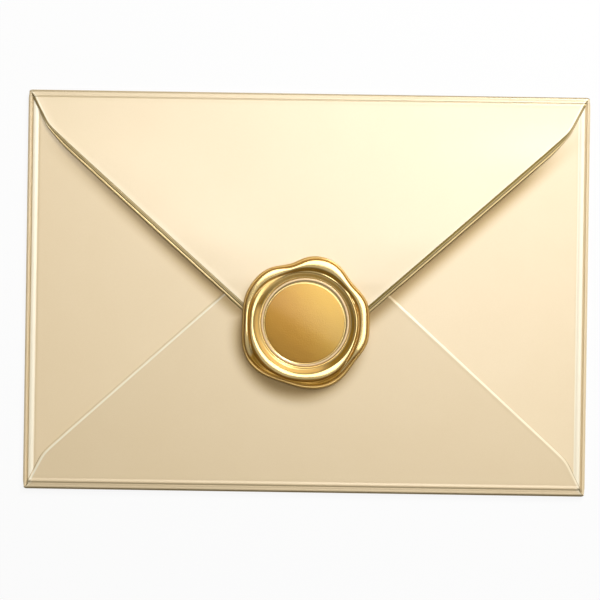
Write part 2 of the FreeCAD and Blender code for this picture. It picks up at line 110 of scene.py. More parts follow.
class Mesh:
    """Closed shells of one piece, gathered as whole arrays and made one object at the end."""

    def __init__(self, marks: tuple[str, ...] = ()) -> None:
        """Start empty.

        Args:
            marks: names of the numbers that each vertex carries.
        """
        self.points: list[Array] = []
        self.quads: list[Array] = []
        self.fans: list[Array] = []
        self.marks: dict[str, list[Array]] = {name: [] for name in marks}
        self.count = 0

    def add(self, points: Array, quads: Array, fans: Array | None = None, **marks: Array) -> None:
        """Add one closed shell and turn it right side out.

        Args:
            points: vertices in millimetres, three numbers each.
            quads: four vertex numbers for each face.
            fans: three vertex numbers for each triangle, if there are any.
            marks: one number for each vertex, by name.
        """
        fans = np.zeros((0, 3), int) if fans is None else fans
        triangles = np.concatenate([quads[:, [0, 1, 2]], quads[:, [0, 2, 3]], fans])
        a, b, c = (points[triangles[:, i]] for i in range(3))
        volume = np.einsum("ij,ij->", a, np.cross(b, c))
        if volume < 0:
            quads, fans = quads[:, ::-1], fans[:, ::-1]
        self.points.append(points)
        self.quads.append(quads + self.count)
        self.fans.append(fans + self.count)
        for name, parts in self.marks.items():
            parts.append(marks.get(name, np.zeros(len(points))))
        self.count += len(points)

    def slab(self, outer: Array, inner: Array, **marks: Array) -> None:
        """Add a bent sheet: two skins, and the walls between their rims.

        Args:
            outer: a grid of rows, columns and three numbers.
            inner: the same for the other skin.
            marks: a grid of numbers for each mark, which both skins carry.
        """
        rows, columns = outer.shape[:2]
        grid = np.arange(rows * columns).reshape(rows, columns)
        under = grid + grid.size
        top = np.stack([grid[:-1, :-1], grid[1:, :-1], grid[1:, 1:], grid[:-1, 1:]], -1).reshape(-1, 4)
        rim = np.concatenate([grid[0, :-1], grid[:-1, -1], grid[-1, :0:-1], grid[:0:-1, 0]])
        after = np.roll(rim, -1)
        walls = np.stack([rim, after, after + grid.size, rim + grid.size], -1)
        low = np.stack([under[:-1, :-1], under[:-1, 1:], under[1:, 1:], under[1:, :-1]], -1).reshape(-1, 4)
        both = {name: np.tile(values.ravel(), 2) for name, values in marks.items()}
        self.add(np.concatenate([outer.reshape(-1, 3), inner.reshape(-1, 3)]),
                 np.concatenate([top, walls, low]), **both)

    def make(self, name: str, sharp_degrees: float) -> bpy.types.Object:
        """Make the object in metres.

        Args:
            name: its name.
            sharp_degrees: edges that turn by more than this stay sharp, and the rest is smooth.
        Returns:
            The object, in the scene.
        """
        points = np.concatenate(self.points) * METRES
        quads, fans = np.concatenate(self.quads), np.concatenate(self.fans)
        corners = np.concatenate([quads.ravel(), fans.ravel()])
        sizes = np.concatenate([np.full(len(quads), 4), np.full(len(fans), 3)])
        starts = np.concatenate([[0], np.cumsum(sizes)[:-1]])
        data = bpy.data.meshes.new(name)
        data.vertices.add(len(points))
        data.vertices.foreach_set("co", points.astype(np.float32).ravel())
        data.loops.add(len(corners))
        data.loops.foreach_set("vertex_index", corners.astype(np.int32))
        data.polygons.add(len(sizes))
        data.polygons.foreach_set("loop_start", starts.astype(np.int32))
        data.polygons.foreach_set("use_smooth", np.ones(len(sizes), bool))
        data.update(calc_edges=True)
        data.validate()
        for mark, parts in self.marks.items():
            values = np.concatenate(parts).astype(np.float32)
            data.attributes.new(mark, "FLOAT", "POINT").data.foreach_set("value", values)
        data.set_sharp_from_angle(angle=math.radians(sharp_degrees))
        thing = bpy.data.objects.new(name, data)
        bpy.context.scene.collection.objects.link(thing)
        LOG.info("%s: %d vertices, %d faces", name, len(points), len(sizes))
        return thing


class Shader:
    """A node tree being laid out: nodes are added with their inputs, and links by reference."""

    def __init__(self, tree: bpy.types.NodeTree) -> None:
        """Take a tree and empty it."""
        self.tree = tree
        tree.nodes.clear()

    def add(self, kind: str, settings: dict | None = None, **inputs: object) -> bpy.types.Node:
        """Add a node.

        Args:
            kind: the node's type, without its family name.
            settings: properties of the node itself.
            inputs: a value or an output socket for each input, with _ for a blank in its name.
        Returns:
            The node.
        """
        node = self.tree.nodes.new("ShaderNode" + kind)
        for name, value in (settings or {}).items():
            setattr(node, name, value)
        for name, value in inputs.items():
            socket = self.socket(node, name)
            if isinstance(value, bpy.types.NodeSocket):
                self.tree.links.new(value, socket)
            else:
                socket.default_value = value
        return node

    @staticmethod
    def socket(node: bpy.types.Node, name: str) -> bpy.types.NodeSocket:
        """An input by its name, or by its number as in i0."""
        if name[0] == "i" and name[1:].isdigit():
            return node.inputs[int(name[1:])]
        return node.inputs[name.replace("_", " ")]

    def math(self, operation: str, first: object, second: object = 0.0,
             third: object = 0.0) -> bpy.types.NodeSocket:
        """One step of arithmetic."""
        return self.add("Math", {"operation": operation}, i0=first, i1=second, i2=third).outputs[0]

    def smooth(self, value: object, near: float, far: float) -> bpy.types.NodeSocket:
        """Smooth step from 0 at one value to 1 at another."""
        return self.add("MapRange", {"interpolation_type": "SMOOTHSTEP"}, Value=value,
                        From_Min=near, From_Max=far).outputs[0]

    def fade(self, value: object, near: float, far: float) -> bpy.types.NodeSocket:
        """Smooth step from 1 at one value to 0 at another."""
        return self.math("SUBTRACT", 1.0, self.smooth(value, near, far))

    def line(self, value: object, level: float, gain: float) -> bpy.types.NodeSocket:
        """A level, plus a gain times a value."""
        return self.math("MULTIPLY_ADD", value, gain, level)

    def chain(self, operation: str, *values: object) -> bpy.types.NodeSocket:
        """One operation over several values, from the first to the last."""
        return reduce(lambda first, second: self.math(operation, first, second), values)

    def mix(self, share: object, first: object, second: object, blend: str = "MIX") -> bpy.types.NodeSocket:
        """Two colours mixed by a share."""
        settings = {"data_type": "RGBA", "blend_type": blend}
        return self.add("Mix", settings, i0=share, i6=first, i7=second).outputs[2]

    def noise(self, where: bpy.types.NodeSocket, per_metre: float, detail: float) -> bpy.types.NodeSocket:
        """Noise at a scale in cells per metre."""
        node = self.add("TexNoise", None, Vector=where, Scale=per_metre, Detail=detail)
        return node.outputs[0]

    def mark(self, name: str) -> bpy.types.NodeSocket:
        """A number that the vertices carry."""
        return self.add("Attribute", {"attribute_name": name}).outputs["Fac"]


def rgba(colour: Triple) -> tuple[float, float, float, float]:
    """A linear colour with full cover."""
    return (*colour, 1.0)


def new_finish(name: str) -> tuple[bpy.types.Material, Shader]:
    """A new material, and its node tree, empty.

    Args:
        name: the material's name.
    Returns:
        The material and the tree.
    """
    material = bpy.data.materials.new(name)
    material.use_nodes = True
    return material, Shader(material.node_tree)


@dataclass(frozen=True)
class PaintedShadow:
    """Painted shadow, in brown, beside the top flap's edge and round the seal.

    Lengths are in metres, in the envelope's own coordinates. A pair says where a smooth change
    starts and ends. Levels are given as a level and what is added low on the envelope.
    """

    shoulder: Pair = (0.0814, 0.0515)
    outward: Triple = (0.6636, -0.7481, 0.0)
    beside: Pair = (0.0022, 0.0078)
    climb: Pair = (-0.010, 0.060)
    crossing: Pair = (-0.020, 0.020)
    corner: Pair = (0.032, 0.054)
    left_level: Pair = (0.20, 0.34)
    right_more: Pair = (0.35, -0.33)
    seal_middle: Triple = (-0.0022, -0.0130, 0.0)
    round_seal: Pair = (0.0172, 0.0240)
    seal_level: float = 0.60
    flap_side: Pair = (0.0004, 0.0010)

    def share(self, tree: Shader, where: bpy.types.NodeSocket) -> bpy.types.NodeSocket:
        """Share of the painted shadow: the larger of what lies by the flap and by the seal.

        Outside the flap's edge it falls with the distance from the line through the flap's
        shoulder; round the seal, with the distance from a point a little to its lower left.

        Args:
            tree: the node tree that works it out.
            where: the place, in the envelope's own coordinates.
        Returns:
            The share, from 0 to 1.
        """
        x, y, z = tree.add("SeparateXYZ", None, Vector=where).outputs
        mirrored = tree.add("CombineXYZ", None, X=tree.math("ABSOLUTE", x), Y=y).outputs[0]
        line = tree.add("VectorMath", {"operation": "DOT_PRODUCT"}, i0=mirrored, i1=self.outward)
        start = sum(a * b for a, b in zip(self.shoulder, self.outward))
        near = tree.fade(tree.math("SUBTRACT", line.outputs["Value"], start), *self.beside)
        low, right = tree.fade(y, *self.climb), tree.smooth(x, *self.crossing)
        level = tree.math("MULTIPLY_ADD", right, tree.line(low, *self.right_more),
                          tree.line(low, *self.left_level))
        by_flap = tree.chain("MULTIPLY", tree.mark("under"), level, tree.fade(y, *self.corner), near)
        away = tree.add("VectorMath", {"operation": "DISTANCE"}, i0=where, i1=self.seal_middle)
        around = tree.fade(away.outputs["Value"], *self.round_seal)
        by_seal = tree.math("MULTIPLY", around, self.seal_level)
        shadow_share = tree.math("MAXIMUM", by_flap, by_seal)
        return tree.math("MULTIPLY", tree.smooth(z, *self.flap_side), shadow_share)


@dataclass(frozen=True)
class PearlPaper:
    """Satin card with a pearl sheen, gilt along the rolled edge of its top flap, and with painted shadow,
    painted shade and painted highlights.

    A pair is a level and what is added as the noise goes from 0 to 1.
    """

    paper: Triple = (0.823, 0.640, 0.368)
    warm: Triple = (0.797, 0.609, 0.336)
    gilt: Triple = (0.39, 0.28, 0.105)
    # The olive is painted shade, the umber a painted shadow, and the cream a painted highlight.
    olive: Triple = (0.150, 0.105, 0.024)
    shade_umber: Triple = (0.175, 0.090, 0.003)
    cream: Triple = (0.97, 0.875, 0.65)
    mottle: Pair = (-0.7, 1.2)
    gilt_cover: Pair = (0.78, 0.4)
    roughness: Pair = (0.39, 0.10)
    gilt_roughness: float = -0.12
    shadow_roughness: float = 0.45
    gilt_metal: float = 0.70
    shadow_metal: float = 1.55
    shade_metal: float = 0.94
    index: float = 1.9
    specular: float = 0.9
    mottle_per_metre: float = 55.0
    fibre_per_metre: float = 2400.0
    tooth_per_metre: float = 5200.0
    tooth_depth: float = 0.000010
    tooth_strength: float = 0.35
    painted_shadow: PaintedShadow = PaintedShadow()

    def dress(self, piece: bpy.types.Object) -> None:
        """Give the piece this finish, whose colours follow its gilt, bright and shade marks: the bright mark
        is a painted highlight in cream, and the shade mark painted shade in olive.

        Args:
            piece: the object.
        """
        material, tree = new_finish("pearl_paper")
        where = tree.add("TexCoord").outputs["Object"]
        cloud = tree.noise(where, self.mottle_per_metre, 3.0)
        fibre = tree.noise(where, self.fibre_per_metre, 4.0)
        tooth = tree.noise(where, self.tooth_per_metre, 2.0)
        spread = tree.line(tree.math("ADD", cloud, fibre), *self.mottle)
        card = tree.mix(spread, rgba(self.paper), rgba(self.warm))
        gilt, shade, shadow_share = tree.mark("gilt"), tree.mark("shade"), self.painted_shadow.share(tree, where)
        cover = tree.math("MULTIPLY", gilt, tree.line(fibre, *self.gilt_cover))
        # Painted highlight in cream where the bright mark is.
        rubbed = tree.mix(tree.mark("bright"), card, rgba(self.cream))
        edged = tree.mix(cover, rubbed, rgba(self.gilt))
        # Painted shadow in umber and painted shade in olive are laid over the card and its gilt.
        tint = tree.mix(shade, tree.mix(shadow_share, edged, rgba(self.shade_umber)), rgba(self.olive))
        # Where the shadow is painted the card is rougher and metallic, so that its sheen takes the shadow's
        # colour.
        rough = tree.math("MULTIPLY_ADD", gilt, self.gilt_roughness, tree.line(fibre, *self.roughness))
        rough = tree.math("MULTIPLY_ADD", shadow_share, self.shadow_roughness, rough)
        metal = tree.chain("MAXIMUM", tree.math("MULTIPLY", gilt, self.gilt_metal),
                          tree.math("MULTIPLY", shadow_share, self.shadow_metal),
                          tree.math("MULTIPLY", shade, self.shade_metal))
        bump = tree.add("Bump", None, Strength=self.tooth_strength, Distance=self.tooth_depth,
                        Height=tree.math("ADD", tooth, fibre))
        surface = tree.add("BsdfPrincipled", None, Base_Color=tint, Roughness=rough, Metallic=metal,
                           Specular_IOR_Level=self.specular, IOR=self.index, Normal=bump.outputs[0])
        tree.add("OutputMaterial", None, Surface=surface.outputs[0])
        piece.data.materials.append(material)


@dataclass(frozen=True)
class GoldWax:
    """Gold sealing wax: satin where the stamp lay flat, polished where it was squeezed out.

    A pair is a level and what is added as the noise or the mark goes from 0 to 1.
    """

    gold: Triple = (0.90, 0.70, 0.34)
    deep: Triple = (0.84, 0.61, 0.24)
    # The disc's lighter colour is painted light, and the umber-brown is painted shade on steep slopes and in
    # hollows.
    stamped: Triple = (0.362, 0.186, 0.028)
    rubbed: Triple = (0.415, 0.252, 0.048)
    rose: Triple = (0.60, 0.43, 0.235)
    shade_umber: Triple = (0.46, 0.25, 0.03)
    amber: Triple = (0.86, 0.55, 0.16)
    tan: Triple = (0.62, 0.40, 0.12)
    cloud_gain: float = 1.4
    speckle: Pair = (-0.25, 0.5)
    metal: Pair = (1.0, -0.5)
    bank_metal: float = -0.25
    coat: Pair = (0.5, -0.42)
    coat_roughness: float = 0.12
    roughness: Pair = (0.14, 0.06)
    satin_roughness: float = 0.19
    matt_share: float = 0.8
    bank_roughness: float = 0.18
    cloud_per_metre: float = 120.0
    grain_per_metre: float = 3000.0
    grain_depth: float = 0.000045
    grain_strength: Pair = (0.1, 0.8)
    flow_per_metre: float = 260.0
    flow_depth: float = 0.00010
    flow_strength: float = 0.35

    def dress(self, piece: bpy.types.Object) -> None:
        """Give the piece this finish.

        Its marks say where the stamp lay flat and where light is painted on it, where its ring is, where the
        wax is steep or hollow, which is painted in shade, where it slopes to the stamp, and where it is
        thin.

        Args:
            piece: the object.
        """
        material, tree = new_finish("gold_wax")
        where = tree.add("TexCoord").outputs["Object"]
        cloud = tree.noise(where, self.cloud_per_metre, 3.0)
        grain = tree.noise(where, self.grain_per_metre, 3.0)
        flow = tree.noise(where, self.flow_per_metre, 2.0)
        satin, ring, flank, thin, bank, lit_share = (
            tree.mark(name) for name in ("satin", "ring", "flank", "thin", "bank", "rubbed"))
        run = tree.mix(tree.math("MULTIPLY", cloud, self.cloud_gain), rgba(self.gold), rgba(self.deep))
        # Painted shade in umber on steep slopes, in hollows and on the shelf.
        slope = tree.mix(bank, tree.mix(flank, run, rgba(self.shade_umber)), rgba(self.amber))
        # Painted light: the stamp's disc is lighter towards its upper right.
        speckled = tree.math("ADD", lit_share, tree.line(grain, *self.speckle))
        flat = tree.mix(speckled, rgba(self.stamped), rgba(self.rubbed))
        pressed = tree.mix(ring, tree.mix(satin, slope, flat), rgba(self.rose))
        tint = tree.mix(thin, pressed, rgba(self.tan))
        matt = tree.chain("MAXIMUM", flank, thin, bank, ring)
        metal = tree.math("MULTIPLY_ADD", bank, self.bank_metal, tree.line(matt, *self.metal))
        dull = tree.math("MAXIMUM", satin, tree.math("MULTIPLY", matt, self.matt_share))
        rough = tree.math("MULTIPLY_ADD", dull, self.satin_roughness, tree.line(grain, *self.roughness))
        rough = tree.math("MULTIPLY_ADD", bank, self.bank_roughness, rough)
        fine = tree.add("Bump", None, Distance=self.grain_depth, Height=grain,
                        Strength=tree.line(satin, *self.grain_strength))
        broad = tree.add("Bump", None, Distance=self.flow_depth, Height=flow,
                         Strength=self.flow_strength, Normal=fine.outputs[0])
        surface = tree.add("BsdfPrincipled", None, Base_Color=tint, Metallic=metal, Roughness=rough,
                           Coat_Weight=tree.line(matt, *self.coat), Coat_Roughness=self.coat_roughness,
                           Normal=broad.outputs[0])
        tree.add("OutputMaterial", None, Surface=surface.outputs[0])
        piece.data.materials.append(material)


@dataclass(frozen=True)
class Fold:
    """Section of a fold and of what is pressed beside it, in millimetres in from the edge."""

    radius: float = 0.9
    sheet: float = 0.3
    groove_inset: float = 1.32
    groove_width: float = 0.24
    groove_depth: float = 0.32
    band_inset: float = 2.4
    band_width: float = 0.75
    band_rise: float = 0.10
    valley_inset: float = 3.45
    valley_width: float = 0.40
    valley_depth: float = 0.07
    face_inset: float = 3.6
    face_drop: float = 0.05
    face_blend: float = 0.4
    lift_start: float = 1.35
    lift_run: float = 0.85

    def relief(self, inset: Array) -> Array:
        """Height of what is pressed: a groove, a band and a valley, and a drop to the face."""
        pressed = bells(inset, (self.band_rise, self.band_inset, self.band_width),
                        (-self.groove_depth, self.groove_inset, self.groove_width),
                        (-self.valley_depth, self.valley_inset, self.valley_width))
        return pressed - self.face_drop * step(inset, self.band_inset, self.face_inset)

    def rising(self, inset: Array, lift: float, slope: float) -> Array:
        """Height of a flap: the top of the fold, the relief, the lift and the slope of the face.

        Args:
            inset: distance in from the edge.
            lift: thickness of card that the flap lies on.
            slope: rise of the face, which starts softly.
        Returns:
            Heights.
        """
        past = soft_max(inset - self.face_inset, np.zeros_like(inset), self.face_blend)
        start = lift * ease((inset - self.lift_start) / self.lift_run)
        return 2 * self.radius + self.relief(inset) + start + slope * past

    def round(self, turn: Array, inner: bool) -> tuple[Array, Array]:
        """The half round of the fold.

        Args:
            turn: angle round the fold, from 0 under it to pi on top of it.
            inner: whether this is the inner skin of the card.
        Returns:
            Inset and height: the radius less the skin's radius times the sine, and times the cosine.
        """
        skin = self.radius - self.sheet if inner else self.radius
        return self.radius - skin * np.sin(turn), self.radius - skin * np.cos(turn)


class Side(Enum):
    """The four flaps: quarter turns about Z, then the corner where the fold starts."""

    BOTTOM = (0, -1, -1)
    RIGHT = (1, 1, -1)
    TOP = (2, 1, 1)
    LEFT = (3, -1, 1)


@dataclass(frozen=True)
class FoldTone:
    """Painted shade and painted highlight on a fold and beside it, from 0 to 1.

    Insets and widths are in millimetres, and a pair is where a smooth change starts and ends.
    The valley is a bell's height, centre and width.
    """

    round_dark: float = 0.03
    round_kept: float = 0.38
    round_fade: Pair = (0.35, 0.75)
    groove_dark: float = 0.24
    groove_width: float = 0.26
    groove_offset: float = 0.05
    valley: Triple = (0.07, 3.4, 0.4)
    rim_dark: float = 0.0
    rim_fade: Pair = (1.5, 1.9)
    face_dark: float = 0.042
    pale: float = 0.9
    pale_starts: Pair = (1.65, 1.95)
    pale_ends: Pair = (3.1, 3.5)

    def on_round(self, inset: Array) -> Array:
        """Painted shade on the half round: full at its outside, and a share of that further in."""
        return self.round_dark * (1 - (1 - self.round_kept) * step(inset, *self.round_fade))

    def beside(self, inset: Array, groove: float) -> Array:
        """Painted shade on the face: in the groove and the valley, near the fold, and all over.

        Args:
            inset: distance in from the edge.
            groove: inset of the groove.
        Returns:
            Values from 0 to 1.
        """
        line = self.groove_dark, groove + self.groove_offset, self.groove_width
        pressed = bells(inset, line, self.valley)
        return pressed + self.rim_dark * fall(inset, *self.rim_fade) + self.face_dark

    def band(self, inset: Array) -> Array:
        """Painted highlight on the band beside a fold."""
        return self.pale * step(inset, *self.pale_starts) * fall(inset, *self.pale_ends)


# Painted shade differs by flap: the bottom fold, which faces away from the light, is darkest, and the faces
# of the side flaps and the top flap are a little darker all over.
TONES = {
    Side.BOTTOM: FoldTone(round_dark=0.80, groove_dark=0.42, groove_width=0.42, rim_dark=0.22,
                          face_dark=0.0),
    Side.TOP: FoldTone(round_dark=0.42, round_kept=0.60, round_fade=(0.5, 0.9), groove_dark=0.34,
                       valley=(0.0, 3.4, 0.4), rim_dark=0.14),
    Side.LEFT: FoldTone(),
    Side.RIGHT: FoldTone(groove_dark=0.30, pale_ends=(3.55, 3.95)),
}


@dataclass(frozen=True)
class CornerLine:
    """Painted shade in a dark line and a painted highlight on a pale rim, along a laid flap's edge in its
    corner.

    Both are a bell's height, centre and width in distance inside the crease, and the last pair is
    where they start to fade and end, in insets.
    """

    dark: Triple = (0.75, 0.0, 0.22)
    pale: Triple = (0.75, 0.5, 0.22)
    ends: Pair = (2.0, 3.5)


@dataclass(frozen=True)
class Bevel:
    """The bottom flap's rolled edge: one soft bevel, with painted shade at the cut and a painted highlight
    in a pale line.

    Widths, insets and heights are in millimetres. What is passed of the edge runs from 0 at the
    crease to 1 at the cut. Three numbers are the height, centre and width of a bell, and two are
    where a smooth change starts and ends.
    """

    steps: int = 14
    width: float = 0.95
    widens: Pair = (3.0, 11.0)
    landing: float = 0.10
    turned: float = 0.96
    brow: Triple = (0.03, 0.0, 0.8)
    corner: Pair = (9.0, 13.0)
    cut: Triple = (1.0, 1.0, 0.16)
    cut_dark: float = 0.30
    corner_dark: float = 0.45
    crease_dark: Triple = (0.10, 0.0, 0.10)
    right_pale: float = 0.50
    right_starts: Pair = (0.0, 0.15)
    right_ends: Pair = (0.75, 0.90)
    left_ends: Pair = (0.46, 0.66)
    left_inside: Triple = (1.0, 0.0, 0.20)
    left_inside_starts: Pair = (2.0, 3.5)


@dataclass(frozen=True)
class RaisedEdge:
    """The top flap's rolled edge: gilt and raised, with pressed lines, turned down at the cut. Its dark
    band, lines and cut are painted shade, its rim a painted highlight, and its glow paints the top flap's
    face lighter.

    Measures are given as for the bevel. The edge is narrow at the corner, grows on the way to
    the shoulder and past it, and tapers past the middle of the envelope. How full it is runs
    from 0 where it is narrow to 1 where it is wide. The gilt, the rim and the rim's width are
    each given where it is narrow, and by what is added where it is wide.
    """

    steps: int = 28
    width: float = 2.0
    shoulder_width: float = 0.95
    to_shoulder: Pair = (5.0, 11.0)
    past_shoulder: Pair = (9.0, 18.0)
    tapers: Pair = (6.0, 16.0)
    least: float = 0.06
    full: Pair = (0.35, 0.75)
    loft: float = 0.65
    loft_starts: Pair = (7.0, 23.0)
    loft_ends: Pair = (44.0, 62.0)
    loft_reach: float = 24.0
    brow: Triple = (0.07, 0.0, 1.3)
    sag: float = 0.05
    lines: tuple[Triple, ...] = ((0.7, 0.08, 0.06), (0.35, 0.30, 0.04), (1.0, 0.58, 0.07))
    line_depth: float = 0.10
    line_dark: float = 0.35
    turns_down: Pair = (0.86, 1.01)
    landing: float = 0.16
    gilt: Pair = (0.35, 0.65)
    gilt_starts: Pair = (0.0, 0.2)
    left_dark: float = 0.60
    left_starts: Pair = (0.0, 0.06)
    left_ends: Pair = (0.50, 0.66)
    right_starts: Pair = (0.0, 0.08)
    right_ends: Pair = (0.24, 0.66)
    cut_dark: float = 0.7
    cut: Pair = (0.93, 1.0)
    narrow_dark: float = 0.88
    narrow_starts: Pair = (0.02, 0.12)
    glow: float = 0.09
    rim: Pair = (0.78, -0.35)
    rim_inside: float = 0.30
    rim_width: Pair = (0.25, -0.05)
    rim_starts: Pair = (1.0, 2.5)


@dataclass
class Places:
    """Points of a laid flap, as grids of rows and columns, in millimetres.

    They hold the place along the fold, the inset from it, the share of the rolled edge that is
    passed, the distance inside the crease, and X and Y in the envelope's own frame.
    """

    along: Array
    deep: Array
    passed: Array
    creased: Array
    x: Array
    y: Array


@dataclass
class Envelope:
    """The sheet of card: its flat front, four flaps, and the heights on its back.

    Insets are measured in from a fold, and places along it from the corner where it starts.
    """

    width: float
    height: float
    fold: Fold = Fold()
    top_fold: Fold = Fold(groove_inset=2.10, groove_width=0.26, groove_depth=0.20, band_inset=2.9,
                          band_rise=0.0, valley_depth=0.0, face_drop=0.01)
    bottom_fold: Fold = Fold(groove_inset=2.05, groove_width=0.34, groove_depth=0.16, band_inset=2.75,
                             band_width=0.45, band_rise=0.01, valley_depth=0.02)
    finish: PearlPaper = PearlPaper()
    bevel: Bevel = Bevel()
    raised: RaisedEdge = RaisedEdge()
    corner_line: CornerLine = CornerLine()
    centre_rise: float = 2.5
    lift: float = 0.2
    side_tip_gap: float = 38.0
    side_cut: float = 0.6
    bottom_past_middle: float = 3.0
    bottom_top_width: float = 42.0
    top_past_middle: float = 20.7
    top_cut: float = 2.2
    crown_blend: float = 0.09
    mitre_reach: float = 2.1
    shoulder: Pair = (6.6, 11.0)
    shoulder_blend: float = 0.8
    mitre_blend: float = 0.25
    corner_radius: float = 1.15
    corner_lip: float = 0.75
    least_lip: float = 0.03
    lip_grows: Pair = (0.9, 2.5)
    lip_sink: float = 0.04
    lip_sheet: float = 0.05
    seam_slope: float = 1.1
    top_leans: float = 0.664
    right_band: float = 0.15
    right_band_across: Pair = (-30.0, 60.0)
    right_band_ends: Pair = (1.9, 2.4)
    near_reach: float = 4.0
    near_columns: int = 14
    far_columns: int = 12

    def __post_init__(self) -> None:
        """Work out the reaches and slopes that follow."""
        self.half_width, self.half_height = self.width / 2, self.height / 2
        face = self.fold.face_inset
        self.side_reach = self.half_width - self.side_tip_gap / 2
        self.side_slope = self.centre_rise / (self.side_reach - face)
        self.laid_slope = self.centre_rise / (self.half_height - face)
        self.bottom_reach = self.half_height + self.bottom_past_middle
        self.crown_inset = self.half_height - self.bottom_past_middle
        level = 2 * self.fold.radius - self.fold.face_drop + self.lift
        self.crown_top = level + self.laid_slope * (self.bottom_reach - face) + self.lift
        self.top_slope = (self.crown_top - level) / (self.crown_inset - face)
        self.top_reach = self.half_height + self.top_past_middle

    def world(self, side: Side, along: Array, inset: Array, height: Array) -> Array:
        """Points of a flap in the envelope's own frame, with its corners rounded.

        Args:
            side: the flap.
            along: place along its fold.
            inset: inset from its fold.
            height: height over the table.
        Returns:
            X, Y and Z, last in the grid.
        """
        turns, across, up = side.value
        turned = ((along, inset), (-inset, along), (-along, -inset), (inset, -along))[turns]
        x, y = turned[0] + across * self.half_width, turned[1] + up * self.half_height
        return self.rounded(np.stack(np.broadcast_arrays(x, y, height), -1))

    def rounded(self, points: Array) -> Array:
        """Draw the four square corners in to quarter rounds.

        Inside the corner's square, with u and v from 0 at its inner sides to 1 at the edges, u
        becomes u times the root of one less half v squared, and v the same with u.

        Args:
            points: X, Y and Z, last in the grid.
        Returns:
            The same, with X and Y changed in the corners.
        """
        reach = np.array([self.half_width, self.half_height]) - self.corner_radius
        flat = points[..., :2]
        u, v = np.moveaxis(np.maximum((np.abs(flat) - reach) / self.corner_radius, 0.0), -1, 0)
        inside = (u > 0) & (v > 0)
        drawn_u = np.where(inside, u * np.sqrt(1 - np.minimum(v, 1.2) ** 2 / 2), u)
        drawn_v = np.where(inside, v * np.sqrt(1 - np.minimum(u, 1.2) ** 2 / 2), v)
        moved = np.sign(flat) * (reach + self.corner_radius * np.stack([drawn_u, drawn_v], -1))
        result = points.copy()
        result[..., :2] = np.where(inside[..., None], moved, flat)
        return result

    def edge(self, side: Side, inset: Array) -> Array:
        """Place along the fold of a flap's near edge.

        The laid flaps follow the mitre, a steep run to the shoulder and the long diagonal, each
        a straight line, joined by rounded changes. A side flap follows its hidden slanted edge.

        Args:
            side: the flap.
            inset: inset from its fold.
        Returns:
            Places along the fold.
        """
        if side in (Side.LEFT, Side.RIGHT):
            face = self.fold.face_inset
            slant = (self.half_height - face) / (self.side_reach - face)
            return np.where(inset < face, inset, face + (inset - face) * slant)
        end = self.half_width, self.top_reach
        if side is Side.BOTTOM:
            end = self.half_width - self.bottom_top_width / 2, self.bottom_reach
        near, (along, deep) = self.mitre_reach, self.shoulder
        steep = near + (inset - near) * (along - near) / (deep - near)
        long = along + (inset - deep) * (end[0] - along) / (end[1] - deep)
        corner = soft_min(inset, steep, self.mitre_blend * ease(inset / near))
        return soft_max(corner, long, self.shoulder_blend)

    def lip(self, side: Side, inset: Array) -> Array:
        """Width of a laid flap's rolled edge.

        Args:
            side: the flap.
            inset: inset from its fold, at the crease.
        Returns:
            Widths.
        """
        start = self.least_lip + (self.corner_lip - self.least_lip) * step(inset, *self.lip_grows)
        if side is Side.BOTTOM:
            return start + (self.bevel.width - self.corner_lip) * step(inset, *self.bevel.widens)
        edge = self.raised
        middle = (edge.shoulder_width - self.corner_lip) * step(inset, *edge.to_shoulder)
        rest = (edge.width - edge.shoulder_width) * step(inset, *edge.past_shoulder)
        tip = fall(inset - self.half_height, *edge.tapers)
        return (start + middle + rest) * np.maximum(tip, edge.least)

    def side_height(self, x: Array) -> Array:
        """Top of the side flaps."""
        return self.fold.rising(self.half_width - np.abs(x), 0.0, self.side_slope)

    def bottom_height(self, x: Array, y: Array) -> Array:
        """Top of what the top flap covers: the bottom flap, its rolled edge, or the side flaps.

        Args:
            x: place across the envelope.
            y: place up it.
        Returns:
            Heights.
        """
        inset = y + self.half_height
        across = self.half_width - np.abs(x)
        outside = (self.edge(Side.BOTTOM, inset) - across) / math.hypot(1, self.seam_slope)
        face = self.bottom_fold.rising(inset, self.lift, self.laid_slope)
        sides = self.side_height(x)
        laid = face + (sides - face) * ease(outside / self.bevel.width)
        return np.where(inset <= self.bottom_reach, laid, sides)

    def top_face(self, inset: Array) -> Array:
        """Face of the top flap: it rises to the crown and falls with the bottom flap under it.

        Args:
            inset: distance in from its fold.
        Returns:
            Heights.
        """
        up = self.top_fold.rising(inset, self.lift, self.top_slope)
        down = self.crown_top - self.laid_slope * (inset - self.crown_inset)
        return soft_min(up, down, self.crown_blend)

    def back(self, x: Array, y: Array) -> Array:
        """Height of the closed back, with the top flap over the rest.

        Args:
            x: place across the envelope.
            y: place up it.
        Returns:
            Heights.
        """
        inset = self.half_height - y
        half = np.abs(self.half_width - self.edge(Side.TOP, inset))
        share = ease((np.abs(x) - half) * self.top_leans / self.raised.width)
        top = self.top_face(inset)
        return top + (self.bottom_height(x, y) - top) * share

